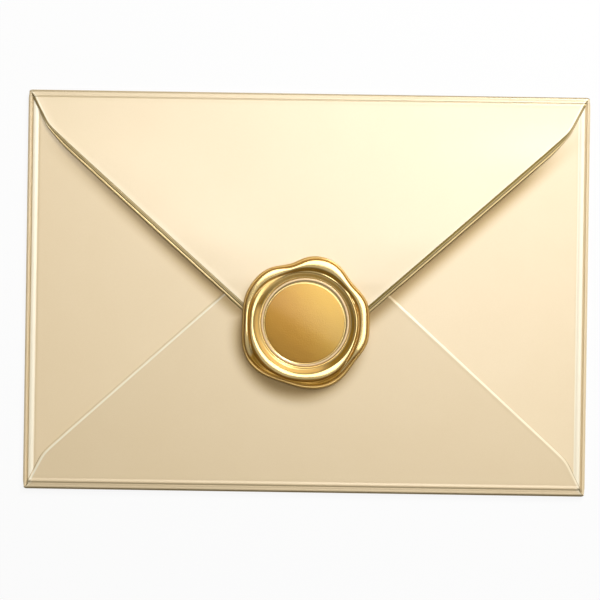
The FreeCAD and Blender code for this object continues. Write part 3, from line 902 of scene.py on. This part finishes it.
    def columns(self, side: Side, inset: Array) -> tuple[Array, Array, Array]:
        """Grid over a laid flap.

        Args:
            side: the flap.
            inset: inset of each row.
        Returns:
            For each row and column, the place along the fold, the inset, and the share of the
            rolled edge that is passed, from 0 at its crease to 1 at the cut.
        """
        steps = self.raised.steps if side is Side.TOP else self.bevel.steps
        crease = self.edge(side, inset)[:, None]
        slope = np.gradient(crease[:, 0], inset)[:, None]
        length = np.sqrt(1 + slope**2)
        half = self.half_width - crease
        near = np.minimum(self.near_reach, half * 0.5)
        share = np.linspace(1, 0, steps + 1)[None, :-1]
        reach = share * self.lip(side, inset)[:, None]
        lip_along, lip_inset = crease - reach / length, inset[:, None] + reach * slope / length
        dense = near * np.linspace(0, 1, self.near_columns + 1)[None, :] ** 1.5
        wide = near + (half - near) * np.linspace(0, 1, self.far_columns + 1)[None, 1:]
        face_along = crease + np.concatenate([dense, wide], 1)
        along = np.concatenate([lip_along, face_along], 1)
        deep = np.concatenate([lip_inset, np.broadcast_to(inset[:, None], face_along.shape)], 1)
        passed = np.concatenate([np.broadcast_to(share, lip_along.shape), np.zeros(face_along.shape)], 1)
        mirror = slice(-2, None, -1)
        return (
            np.concatenate([along, self.width - along[:, mirror]], 1),
            np.concatenate([deep, deep[:, mirror]], 1),
            np.concatenate([passed, passed[:, mirror]], 1),
        )

    def rows(self, reach: float) -> tuple[Array, Array]:
        """Angles round the fold, then insets over the flap, close together near the fold."""
        insets = spaced((self.fold.radius, 0), (4.4, 52), (15.0, 28), (reach, int((reach - 15.0) / 1.2)))
        return np.linspace(0, math.pi, 25), insets[1:]

    def places(self, side: Side, turns: Array, insets: Array) -> Places:
        """Points over the whole section: the fold keeps the mitre, the face its rolled edge.

        Args:
            side: the flap, which is a laid one.
            turns: angles round the fold.
            insets: insets of the rows over the face.
        Returns:
            The points of the outer skin, with the rows of the fold first.
        """
        along, deep, passed = self.columns(side, insets)
        start = self.fold.round(turns, False)[0][:, None]
        spread = (along[:1] - along[:1, :1]) / (along[:1, -1:] - along[:1, :1])
        along = np.concatenate([start + (self.width - 2 * start) * spread, along])
        deep = np.concatenate([np.broadcast_to(start, (len(turns), deep.shape[1])), deep])
        passed = np.concatenate([np.zeros((len(turns), passed.shape[1])), passed])
        creased = np.maximum(np.minimum(along, self.width - along) - self.edge(side, deep), 0.0)
        x, y, _ = np.moveaxis(self.world(side, along, deep, np.zeros_like(along)), -1, 0)
        return Places(along, deep, passed, creased, x, y)

    def bevelled(self, at: Places, below: Array) -> tuple[Array, dict[str, Array]]:
        """The bottom flap's outer skin.

        Args:
            at: its points.
            below: height of the side flaps under it.
        Returns:
            Heights, and gilt, shade and bright marks.
        """
        edge, on_edge = self.bevel, at.passed > 0
        face = self.bottom_fold.rising(at.deep, self.lift, self.laid_slope)
        drop = (below + edge.landing - face) * ease(at.passed * edge.turned)
        # Painted shade at the cut and by the crease, and a painted highlight in a pale line, laid
        # differently on the left and the right.
        dark = edge.cut_dark + edge.corner_dark * fall(at.deep, *edge.corner)
        cut = dark * bells(at.passed, edge.cut) * on_edge
        right = on_edge * step(at.passed, *edge.right_starts) * fall(at.passed, *edge.right_ends)
        inside = ~on_edge * bells(at.creased, edge.left_inside) * step(at.deep, *edge.left_inside_starts)
        left = on_edge * fall(at.passed, *edge.left_ends) + inside
        return face + drop + bells(at.creased, edge.brow), {
            "gilt": np.zeros_like(face),
            "shade": cut + bells(at.passed, edge.crease_dark),
            "bright": np.where(at.x < 0, left, edge.right_pale * right),
        }

    def raised_up(self, at: Places, below: Array) -> tuple[Array, dict[str, Array]]:
        """The top flap's outer skin.

        Args:
            at: its points.
            below: height of the flaps under it.
        Returns:
            Heights, and gilt, shade and bright marks.
        """
        edge, on_edge = self.raised, at.passed > 0
        full = step(self.lip(Side.TOP, at.deep) / edge.width, *edge.full)
        held = step(at.deep, *edge.loft_starts) * fall(at.deep, *edge.loft_ends)
        loft = edge.loft * held * hump(at.creased, 0.0, edge.loft_reach)
        high = self.top_face(at.deep) + loft + bells(at.creased, edge.brow)
        lines = bells(at.passed, *edge.lines)
        drop = (below + edge.landing - high) * step(at.passed, *edge.turns_down)
        # Painted shade on the edge: the olive band, the pressed lines and the cut, with the band laid
        # differently on the left and the right.
        left = edge.left_dark * step(at.passed, *edge.left_starts) * fall(at.passed, *edge.left_ends)
        right = step(at.passed, *edge.right_starts) * fall(at.passed, *edge.right_ends)
        cut = edge.cut_dark * step(at.passed, *edge.cut)
        wide_dark = np.clip(np.where(at.x < 0, left, right) + edge.line_dark * lines + cut, 0, 1)
        narrow_dark = edge.narrow_dark * step(at.passed, *edge.narrow_starts)
        width = edge.rim_width[0] + edge.rim_width[1] * full
        # Painted highlight: a pale rim inside the crease, and a faint glow over the whole face.
        rim = step(at.deep, *edge.rim_starts) * hump(at.creased, edge.rim_inside, width)
        return high - edge.sag * at.passed - edge.line_depth * full * lines + drop, {
            "gilt": on_edge * (edge.gilt[0] + edge.gilt[1] * full) * step(at.passed, *edge.gilt_starts),
            "shade": on_edge * (full * wide_dark + (1 - full) * narrow_dark),
            "bright": ~on_edge * (edge.glow + rim * (edge.rim[0] + edge.rim[1] * full)),
        }

    def laid_flap(self, mesh: Mesh, side: Side) -> None:
        """Add the top or the bottom flap, from the front panel round its fold to its end.

        Args:
            mesh: the mesh that it goes into.
            side: the flap.
        """
        on_top = side is Side.TOP
        turns, insets = self.rows(self.top_reach - self.top_cut if on_top else self.bottom_reach)
        at = self.places(side, turns, insets)
        below = self.bottom_height(at.x, at.y) if on_top else self.side_height(at.x)
        outer, marks = self.raised_up(at, below) if on_top else self.bevelled(at, below)
        edge_inner = np.minimum(outer - self.lip_sheet, below - self.lip_sink)
        inner = np.where(at.passed > 0, edge_inner, outer - self.fold.sheet)
        round_out, height_out = self.fold.round(turns, False)
        round_in, height_in = self.fold.round(turns, True)
        fold_rows, face_rows = slice(len(turns)), slice(len(turns), None)
        outer[fold_rows], inner[fold_rows] = height_out[:, None], height_in[:, None]
        line, tone, groove = self.corner_line, TONES[side], self.top_fold if on_top else self.bottom_fold
        # Painted shade and painted highlight along the corner line, and painted shade on the fold and beside
        # it.
        corner = fall(at.deep, *line.ends)
        shade = np.maximum(marks["shade"], corner * bells(at.creased, line.dark))
        shade[fold_rows] = np.maximum(shade[fold_rows], tone.on_round(round_out)[:, None])
        shade[face_rows] = np.maximum(shade[face_rows], tone.beside(at.deep[face_rows], groove.groove_inset))
        # Painted shade on the top flap's band by its fold, growing towards the right.
        if on_top:
            across = step(at.x, *self.right_band_across) * fall(at.deep, *self.right_band_ends)
            shade += self.right_band * across * (at.passed == 0)
        marks["gilt"][fold_rows] = 0.0
        marks["shade"] = shade
        marks["bright"] = np.maximum(marks["bright"], corner * bells(at.creased, line.pale))
        inner_deep = at.deep.copy()
        inner_deep[fold_rows] = round_in[:, None]
        mesh.slab(self.world(side, at.along, at.deep, outer), self.world(side, at.along, inner_deep, inner),
                  under=np.full_like(outer, float(not on_top)), **marks)
        LOG.info("%s flap: %d rows", side.name.lower(), len(outer))

    def side_flap(self, mesh: Mesh, side: Side) -> None:
        """Add the left or the right flap, whose slanted edges lie under the other two.

        Args:
            mesh: the mesh that it goes into.
            side: the flap.
        """
        turns, insets = self.rows(self.side_reach - self.side_cut)
        round_out, height_out = self.fold.round(turns, False)
        round_in, height_in = self.fold.round(turns, True)
        deep_out = np.concatenate([round_out, insets])[:, None]
        deep_in = np.concatenate([round_in, insets])[:, None]
        start = self.edge(side, deep_out)
        along = start + (self.height - 2 * start) * np.linspace(0, 1, 49)[None, :]
        level = np.ones_like(along)
        face, tone = self.fold.rising(insets, 0.0, self.side_slope), TONES[side]
        outer = np.concatenate([height_out, face])[:, None] * level
        inner = np.concatenate([height_in, face - self.fold.sheet])[:, None] * level
        # Painted shade on the fold and beside it, and a painted highlight on the band beside it.
        shade = np.concatenate([tone.on_round(round_out), tone.beside(insets, self.fold.groove_inset)])
        bright = np.concatenate([np.zeros_like(turns), tone.band(insets)])
        mesh.slab(self.world(side, along, deep_out, outer), self.world(side, along, deep_in, inner),
                  gilt=level * 0.0, shade=shade[:, None] * level, bright=bright[:, None] * level,
                  under=level)
        LOG.info("%s flap: %d rows", side.name.lower(), len(outer))

    def front(self, mesh: Mesh) -> None:
        """Add the flat front panel between the four folds.

        Args:
            mesh: the mesh that it goes into.
        """
        reach_x, reach_y = self.half_width - self.fold.radius, self.half_height - self.fold.radius
        x, y = np.meshgrid(np.linspace(-reach_x, reach_x, 41), np.linspace(-reach_y, reach_y, 31))
        level = np.full(x.shape, self.fold.sheet)
        mesh.slab(np.stack([x, y, level], -1), np.stack([x, y, level * 0.0], -1))

    def build(self) -> bpy.types.Object:
        """Build and dress the whole sheet.

        Returns:
            The object.
        """
        mesh = Mesh(("gilt", "shade", "bright", "under"))
        self.front(mesh)
        self.side_flap(mesh, Side.LEFT)
        self.side_flap(mesh, Side.RIGHT)
        self.laid_flap(mesh, Side.BOTTOM)
        self.laid_flap(mesh, Side.TOP)
        piece = mesh.make("folded_sheet", 50.0)
        self.finish.dress(piece)
        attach(piece, "root")
        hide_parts("envelope_sheet")
        return piece


@dataclass(frozen=True)
class Line:
    """A closed line round the seal: a mean, and how far it swells past that at some angles."""

    mean: float
    swells: tuple[Pair, ...]
    sharpness: float = 22.0

    def at(self, angle: Array) -> Array:
        """Value of the line.

        Round bells about the listed angles, each e to the sharpness times the cosine less one,
        are weighted so that their sum passes through every swell.

        Args:
            angle: angles in radians.
        Returns:
            Values.
        """
        angles = np.radians([place for place, _ in self.swells])
        swells = np.array([swell for _, swell in self.swells])
        between = np.exp(self.sharpness * (np.cos(angles[:, None] - angles[None, :]) - 1))
        weights = np.linalg.solve(between, swells)
        return self.mean + np.exp(self.sharpness * (np.cos(angle[..., None] - angles) - 1)) @ weights


@dataclass(frozen=True)
class WaxMarks:
    """Where the wax takes its looks: a pair is where a smooth change starts and ends.

    Most are distances from the seal's middle in millimetres. The ring is measured from the pressed ring, the
    thin edge from the valley, and the disc's painted light along an angle in degrees.
    The hollow is a height over the disc, steep is a slope, and shares are those of the inner
    fold. Three numbers are the height, centre and width of a bell.
    """

    satin: Pair = (12.25, 12.65)
    rubbed: Pair = (-6.0, 10.0)
    light_angle: float = 25.0
    ring_starts: Pair = (-0.45, -0.30)
    ring_ends: Pair = (0.22, 0.42)
    steep: Pair = (0.25, 0.85)
    flank_starts: Pair = (12.4, 12.7)
    hollow: Pair = (-0.15, 0.35)
    hollow_starts: Pair = (15.6, 15.9)
    shelf: Triple = (0.85, 15.0, 0.75)
    shelf_shares: Pair = (0.41, 0.66)
    bank: Triple = (1.0, 14.95, 0.75)
    bank_shares: Pair = (0.80, 0.98)
    lap: Triple = (0.85, 16.2, 1.0)
    lap_angle: Triple = (1.0, 134.0, 20.0)
    thin: Pair = (-0.05, 0.20)


@dataclass
class WaxSeal:
    """The seal: a stamped disc, its ring, moat and shelf, and the folds of wax squeezed out.

    The wax left the stamp as a rope that laps over itself: its outer fold runs from the lower
    right over the top to the lower left, and its inner fold from the upper left along the bottom.
    Lengths are in millimetres. Rises are measured from the top of the disc, or from the paper for
    the skirt and the outer edge.
    """

    envelope: Envelope
    finish: GoldWax = GoldWax()
    looks: WaxMarks = WaxMarks()
    centre: Pair = (-0.5, -9.4)
    outline: Line = Line(20.1, (
        (0, 0.15), (18, 0.45), (42, -0.65), (60, 0.80), (73, 1.25), (88, 0.55), (104, -1.0),
        (120, 0.0), (136, 0.6), (152, 0.4), (180, -0.6), (198, 0.35), (216, 1.15), (234, 0.4),
        (250, -0.45), (272, 0.3), (292, 1.0), (310, 0.3), (325, -0.35), (343, 0.4),
    ))
    skirt: Line = Line(0.95, ((90, 0.35), (225, 0.2), (270, 0.3), (300, 0.4), (325, 0.2)))
    outer_near: Line = Line(16.8, (
        (0, 0.0), (20, -0.3), (40, -1.2), (60, -1.5), (80, -1.5), (100, -1.4), (116, -1.0), (130, -0.45),
        (145, 0.25), (162, 0.5), (180, 0.35), (196, 0.65), (212, 1.3), (230, 1.6), (250, 1.2),
        (275, 1.4), (300, 1.2), (325, 0.4), (343, 0.1),
    ))
    outer_start: Line = Line(17.4, (
        (0, 0.0), (18, 0.15), (42, -0.2), (60, 0.25), (75, 0.35), (90, 0.0), (104, -0.5), (120, -0.3),
        (136, 0.45), (150, 0.6), (166, 0.45), (180, 0.22), (196, 0.6), (212, 1.5), (230, 2.0),
        (250, 1.6), (275, 1.7), (300, 1.3), (325, 0.4), (343, 0.1),
    ))
    inner_end: Line = Line(17.0, (
        (0, -0.6), (25, -0.7), (60, -0.7), (100, -0.6), (122, -0.3), (145, 0.1), (165, -0.1), (180, -0.2),
        (200, 0.2), (225, 0.5), (250, 0.4), (285, 0.6), (303, 0.6), (320, 0.0), (343, -0.6),
    ))
    inner_far: Line = Line(18.0, (
        (0, -1.1), (25, -1.3), (60, -1.4), (100, -1.3), (118, -1.0), (130, -0.2), (145, 0.2), (165, -0.3),
        (180, -0.75), (195, -0.3), (208, 0.4), (225, 0.6), (240, 0.4), (255, 0.3), (270, 0.4),
        (285, 0.5), (300, 0.4), (316, -0.3), (335, -1.0),
    ))
    outer_share: Line = Line(0.0, (
        (0, 1.0), (25, 1.0), (50, 1.0), (75, 1.0), (100, 1.0), (125, 1.0), (150, 0.92), (175, 0.88),
        (198, 0.84), (218, 0.25), (240, 0.0), (265, 0.0), (285, 0.08), (305, 0.40), (330, 0.96),
    ), 9.0)
    inner_share: Line = Line(0.0, (
        (0, 0.60), (25, 0.46), (50, 0.34), (75, 0.30), (100, 0.30), (122, 0.34), (145, 0.62),
        (170, 1.0), (200, 1.0), (230, 1.0), (260, 1.0), (285, 0.97), (307, 0.80), (332, 0.70),
    ), 9.0)
    inner_near: float = 14.2
    inner_start: float = 15.85
    run_angle: float = 62.0
    disc_top: float = 5.527
    disc_radius: float = 12.5
    disc_dome: float = 0.42
    disc_groove: Triple = (0.07, 12.62, 0.2)
    ring_radius: float = 13.35
    ring_drift: float = 0.33
    ring_width: float = 0.46
    ring_rise: float = 0.19
    moat_radius: float = 14.2
    moat_drift: float = 0.55
    shelf_rise: float = 0.30
    shelf_run: float = 0.55
    stamp_reach: float = 15.6
    foot_rise: float = 0.1
    crest_rise: float = 1.79
    crest_dome: float = 0.10
    notch_rise: float = 0.80
    notch_gain: float = 1.4
    notch_shares: Pair = (0.30, 0.65)
    beyond: float = 4.0
    beyond_run: float = 0.5
    inner_past_valley: float = 0.1
    inner_flank: float = 0.3
    outer_top: float = 0.7
    outer_flank: float = 0.45
    outer_ends: Pair = (-0.18, 0.16)
    skirt_top: float = 5.1
    skirt_rise: float = 1.1
    skirt_power: float = 0.55
    valley_depth: float = 0.6
    outside_drop: float = 2.0
    outside_run: float = 0.3
    blend: float = 0.10
    settled: float = 0.05
    settles: Pair = (14.5, 15.5)
    sink: float = 0.08
    edge_rise: float = 0.02
    turns: int = 420
    stamp_rings: tuple[tuple[float, int], ...] = ((0.5, 0), (12.2, 20), (15.0, 46))
    wax_rings: int = 112
    wax_power: float = 0.97
    under_rings: int = 14
    under_least: float = 0.03

    def crest(self, radius: Array, near: Array, start: Array, end: Array, far: Array,
              feet: tuple[Array, Array], top: Array) -> Array:
        """A fold of wax: a smooth flank, a broad top with a slight dome, and another flank.

        Args:
            radius: distance of each point from the seal's middle.
            near: where the inner flank starts.
            start: where the top starts.
            end: where the top ends.
            far: where the outer flank ends.
            feet: heights at the inner and the outer foot.
            top: height of the top.
        Returns:
            Heights.
        """
        up, down = ease((radius - near) / (start - near)), ease((far - radius) / (far - end))
        off = np.clip((2 * radius - start - end) / (end - start), -1.4, 1.4)
        past = ease((near - radius) / self.beyond_run) + ease((radius - far) / self.beyond_run)
        flanks = (top - feet[0]) * (1 - up) + (top - feet[1]) * (1 - down)
        return top - self.crest_dome * off**2 - flanks - self.beyond * past

    def aslant(self, angle: Array) -> Array:
        """How far each angle lies on the side that the wax ran to, from -1 to 1."""
        return np.cos(angle - math.radians(self.run_angle))

    def stamped(self, radius: Array, angle: Array) -> Array:
        """Heights left by the stamp, which stood a little aslant.

        They are a barely domed disc, a ring, a moat and a shelf, and the last three lie further
        out on the side that the wax ran to.

        Args:
            radius: distance of each point from the seal's middle.
            angle: angles in radians.
        Returns:
            Heights.
        """
        aslant = self.aslant(angle)
        ring = self.ring_radius + self.ring_drift * aslant
        moat = self.moat_radius + self.moat_drift * aslant
        dome = self.disc_dome * np.maximum(1 - (radius / self.disc_radius) ** 2, 0.0)
        raised = self.ring_rise * np.exp(-(((radius - ring) / self.ring_width) ** 4))
        shelf = self.shelf_rise * ease((radius - moat) / self.shelf_run)
        return self.disc_top - self.disc_dome + dome + raised - bells(radius, self.disc_groove) + shelf

    def heights(self, radius: Array, angle: Array, paper: Array) -> Array:
        """Top of the wax: the highest of what the stamp left, the two folds and the low skirt.

        Args:
            radius: distance of each point from the seal's middle.
            angle: angles in radians.
            paper: height of the paper under each point.
        Returns:
            Heights.
        """
        outline = self.outline.at(angle)
        valley = outline - self.skirt.at(angle)
        outer_share = np.clip(self.outer_share.at(angle), 0, 1)
        inner_share = np.clip(self.inner_share.at(angle), 0, 1)
        top, foot = self.disc_top + self.crest_rise, self.disc_top + self.foot_rise
        notch = self.disc_top + self.notch_rise
        low = 0.5 * (self.skirt_top + paper + self.skirt_rise)
        floor = low - self.valley_depth
        inner_far = np.minimum(self.inner_far.at(angle), valley + self.inner_past_valley)
        inner_end = np.minimum(self.inner_end.at(angle), inner_far - self.inner_flank)
        inner_top = foot + (top - foot) * inner_share
        beside = floor + (notch - floor) * ease(outer_share * self.notch_gain)
        inner = self.crest(radius, self.inner_near, self.inner_start, inner_end, inner_far,
                           (foot, np.minimum(beside, inner_top)), inner_top)
        start = np.minimum(self.outer_start.at(angle), valley - self.outer_top)
        near = np.minimum(self.outer_near.at(angle), start - self.outer_flank)
        end, far = (valley + past for past in self.outer_ends)
        outer_top = floor + (top - floor) * outer_share
        inside = foot + (notch - foot) * step(inner_share, *self.notch_shares)
        outer = self.crest(radius, near, start, end, far, (np.minimum(inside, outer_top), floor), outer_top)
        base = floor + (paper - floor) * ease((radius - valley) / (outline - valley))
        off = np.clip((2 * radius - outline - valley) / (outline - valley), -1, 1)
        swell = base + (low - base) * (1 - off**2) ** self.skirt_power
        skirt = np.where(radius < valley, paper, swell)
        low_outside = floor - self.outside_drop * ease((radius - valley) / self.outside_run)
        beyond = np.where(radius < valley, floor, low_outside)
        wax = np.where(radius < self.stamp_reach, self.stamped(radius, angle), beyond)
        for fold in (inner, outer, skirt):
            wax = soft_max(wax, fold, self.blend)
        return wax - self.settled * step(radius, *self.settles)

    def marks(self, radius: Array, angle: Array, height: Array) -> dict[str, Array]:
        """Marks that the finish reads.

        Args:
            radius: distance of each point from the seal's middle.
            angle: angles in radians.
            height: top of the wax at each point.
        Returns:
            Values from 0 to 1, by name.
        """
        looks = self.looks
        steep = np.abs(np.gradient(height, axis=0) / np.gradient(radius, axis=0))
        valley = self.outline.at(angle) - self.skirt.at(angle)
        ring = radius - self.ring_radius - self.ring_drift * self.aslant(angle)
        share = self.inner_share.at(angle)
        # Painted shade: the flank mark darkens steep slopes, low hollows and the shelf.
        hollow = fall(height - self.disc_top, *looks.hollow) * step(radius, *looks.hollow_starts)
        shelf = fall(share, *looks.shelf_shares) * bells(radius, looks.shelf)
        lap = bells(np.degrees(angle), looks.lap_angle) * bells(radius, looks.lap)
        bank = np.maximum(step(share, *looks.bank_shares) * bells(radius, looks.bank), lap)
        flank = np.maximum(step(steep, *looks.steep), np.maximum(hollow, shelf))
        # Painted light on the disc rises along this angle.
        rubbed = radius * np.cos(angle - math.radians(looks.light_angle))
        return {
            "satin": fall(radius, *looks.satin),
            "rubbed": step(rubbed, *looks.rubbed),
            "ring": step(ring, *looks.ring_starts) * fall(ring, *looks.ring_ends),
            "flank": flank * step(radius, *looks.flank_starts) * (1 - bank),
            "bank": bank,
            "thin": step(radius - valley, *looks.thin),
        }

    def around(self, radius: Array, angle: Array) -> tuple[Array, Array]:
        """X and Y of points about the seal's middle."""
        return self.centre[0] + radius * np.cos(angle), self.centre[1] + radius * np.sin(angle)

    def build(self) -> bpy.types.Object:
        """Build the seal as rings of points about its middle, closed underneath, and dress it.

        Returns:
            The object.
        """
        angle = np.linspace(0, 2 * math.pi, self.turns, endpoint=False)[None, :]
        outline, start = self.outline.at(angle), self.stamp_rings[-1][0]
        stamp = spaced(*self.stamp_rings)[:, None] * np.ones_like(angle)
        share = np.sin(np.linspace(0, 1, self.wax_rings)[1:, None] * math.pi / 2) ** self.wax_power
        radius = np.concatenate([stamp, start + (outline - start) * share])
        x, y = self.around(radius, angle)
        paper = self.envelope.back(x, y)
        height = self.heights(radius, angle, paper)
        height[-1] = paper[-1] + self.edge_rise
        under_radius = outline * np.linspace(1, self.under_least, self.under_rings)[:, None]
        under_x, under_y = self.around(under_radius, angle)
        under = self.envelope.back(under_x, under_y) - self.sink
        xyz = np.concatenate([np.stack([x, y, height], -1), np.stack([under_x, under_y, under], -1)])
        grid = np.arange(len(xyz) * self.turns).reshape(len(xyz), self.turns)
        after = np.roll(grid, -1, axis=1)
        quads = np.stack([grid[:-1], grid[1:], after[1:], after[:-1]], -1).reshape(-1, 4)
        points = xyz.reshape(-1, 3)
        poles = np.array([[*self.centre, height[0].mean()], [*self.centre, under[-1].mean()]])
        fans = np.concatenate([
            np.stack([np.full(self.turns, len(points)), grid[0], after[0]], -1),
            np.stack([np.full(self.turns, len(points) + 1), after[-1], grid[-1]], -1),
        ])
        marks = self.marks(radius, angle, height)
        mesh = Mesh(tuple(marks))
        whole = {name: np.concatenate([values.ravel(), np.zeros(under.size), [values[0, 0], 0.0]])
                 for name, values in marks.items()}
        mesh.add(np.concatenate([points, poles]), quads, fans, **whole)
        piece = mesh.make("wax_seal_body", 60.0)
        self.finish.dress(piece)
        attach(piece, "root")
        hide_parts("wax_seal")
        LOG.info("wax seal: %d rings", len(xyz))
        return piece


@dataclass(frozen=True)
class Lamp:
    """A soft box that faces the envelope.

    Its azimuth is in degrees from X towards Y, its elevation in degrees above the table, its
    distance and size in millimetres, and its power in watts.
    """

    name: str
    azimuth: float
    elevation: float
    distance: float
    size: Pair
    watts: float

    def build(self) -> None:
        """Set it up."""
        data = bpy.data.lights.new(self.name, "AREA")
        data.shape = "RECTANGLE"
        data.size, data.size_y = (side * METRES for side in self.size)
        data.energy = self.watts
        lamp = bpy.data.objects.new(self.name, data)
        turn, tilt = math.radians(self.azimuth), math.radians(self.elevation)
        reach = self.distance * METRES
        flat = reach * math.cos(tilt)
        lamp.location = (flat * math.cos(turn), flat * math.sin(turn), reach * math.sin(tilt))
        lamp.rotation_euler = (math.pi / 2 - tilt, 0, turn + math.pi / 2)
        bpy.context.scene.collection.objects.link(lamp)


@dataclass(frozen=True)
class Studio:
    """Table, lamps, surroundings and camera, in millimetres but for the camera's clipping."""

    lens: float = 85.0
    sensor: float = 36.0
    frame_width: float = 188.04
    clip_metres: Pair = (0.01, 20.0)
    aim: Triple = (-2.05, -2.19, 0.9)
    roll_degrees: float = 0.868
    table: float = 3000.0
    table_gap: Pair = (86.8, 61.3)
    table_colour: Triple = (0.80, 0.80, 0.80)
    table_white: float = 0.88
    white: Triple = (1.0, 1.0, 1.0)
    room_colour: Triple = (1.0, 0.985, 0.955)
    room_under: float = 0.75
    room_low: float = 0.06
    room_high: float = 0.54
    room_start: float = 0.42
    lamps: tuple[Lamp, ...] = (
        Lamp("high_softbox", 60.0, 72.0, 900.0, (640.0, 640.0), 3.5),
        Lamp("key_softbox", 60.0, 36.0, 700.0, (240.0, 240.0), 3.4),
    )

    def camera(self) -> None:
        """Add a camera straight above, turned a little, far enough for the frame's width."""
        data = bpy.data.cameras.new("studio_camera")
        data.lens, data.sensor_width = self.lens, self.sensor
        data.clip_start, data.clip_end = self.clip_metres
        camera = bpy.data.objects.new("studio_camera", data)
        x, y, z = self.aim
        distance = self.frame_width * self.lens / self.sensor
        camera.location = (x * METRES, y * METRES, (z + distance) * METRES)
        camera.rotation_euler = (0, 0, math.radians(self.roll_degrees))
        bpy.context.scene.collection.objects.link(camera)
        bpy.context.scene.camera = camera

    def floor(self) -> None:
        """Add a white table that keeps a faint shadow, open under the middle of the envelope."""
        half = self.table / 2 * METRES
        data = bpy.data.meshes.new("table_top")
        x, y = (side * METRES for side in self.table_gap)
        corners = [(-half, -half, 0), (half, -half, 0), (half, half, 0), (-half, half, 0),
                   (-x, -y, 0), (x, -y, 0), (x, y, 0), (-x, y, 0)]
        data.from_pydata(corners, [], [(0, 1, 5, 4), (1, 2, 6, 5), (2, 3, 7, 6), (3, 0, 4, 7)])
        table = bpy.data.objects.new("table_top", data)
        bpy.context.scene.collection.objects.link(table)
        material = bpy.data.materials.new("white_table")
        material.use_nodes = True
        tree = Shader(material.node_tree)
        path = tree.add("LightPath").outputs
        seen = tree.math("MAXIMUM", path["Is Camera Ray"],
                         tree.math("MAXIMUM", path["Is Glossy Ray"], path["Is Transmission Ray"]))
        matt = tree.add("BsdfDiffuse", None, Color=rgba(self.table_colour))
        white = tree.add("Emission", None, Color=rgba(self.white), Strength=1.0)
        share = tree.math("MULTIPLY", seen, self.table_white)
        mixed = tree.add("MixShader", None, i0=share, i1=matt.outputs[0], i2=white.outputs[0])
        tree.add("OutputMaterial", None, Surface=mixed.outputs[0])
        data.materials.append(material)

    def surroundings(self) -> None:
        """Add a soft grey room, lighter overhead and below the table, and white to the camera."""
        world = bpy.data.worlds.new("studio_room")
        world.use_nodes = True
        bpy.context.scene.world = world
        tree = Shader(world.node_tree)
        where = tree.add("TexCoord").outputs["Generated"]
        up = tree.add("SeparateXYZ", None, Vector=where).outputs[2]
        ramp = tree.add("MapRange", {"interpolation_type": "SMOOTHSTEP"}, Value=up,
                        From_Min=self.room_start, From_Max=1.0, To_Min=self.room_low,
                        To_Max=self.room_high)
        under = tree.math("LESS_THAN", up, 0.0)
        level = tree.math("MULTIPLY_ADD", under, self.room_under, ramp.outputs[0])
        light = tree.add("Background", None, Color=rgba(self.room_colour), Strength=level)
        beyond = tree.add("Background", None, Color=rgba(self.white), Strength=1.0)
        seen = tree.add("LightPath").outputs["Is Camera Ray"]
        room = tree.add("MixShader", None, i0=seen, i1=light.outputs[0], i2=beyond.outputs[0])
        tree.add("OutputWorld", None, Surface=room.outputs[0])

    def build(self) -> None:
        """Set up the whole studio."""
        self.camera()
        self.floor()
        for lamp in self.lamps:
            lamp.build()
        self.surroundings()
        bpy.context.scene.view_settings.view_transform = "Standard"


def main() -> None:
    """Build the studio, the sheet and the seal."""
    logging.basicConfig(level=logging.INFO, format="%(message)s")
    low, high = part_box("envelope_sheet")
    size = (high - low) / METRES
    Studio().build()
    envelope = Envelope(width=size.x, height=size.y)
    envelope.build()
    WaxSeal(envelope).build()


if __name__ == "__main__":
    main()
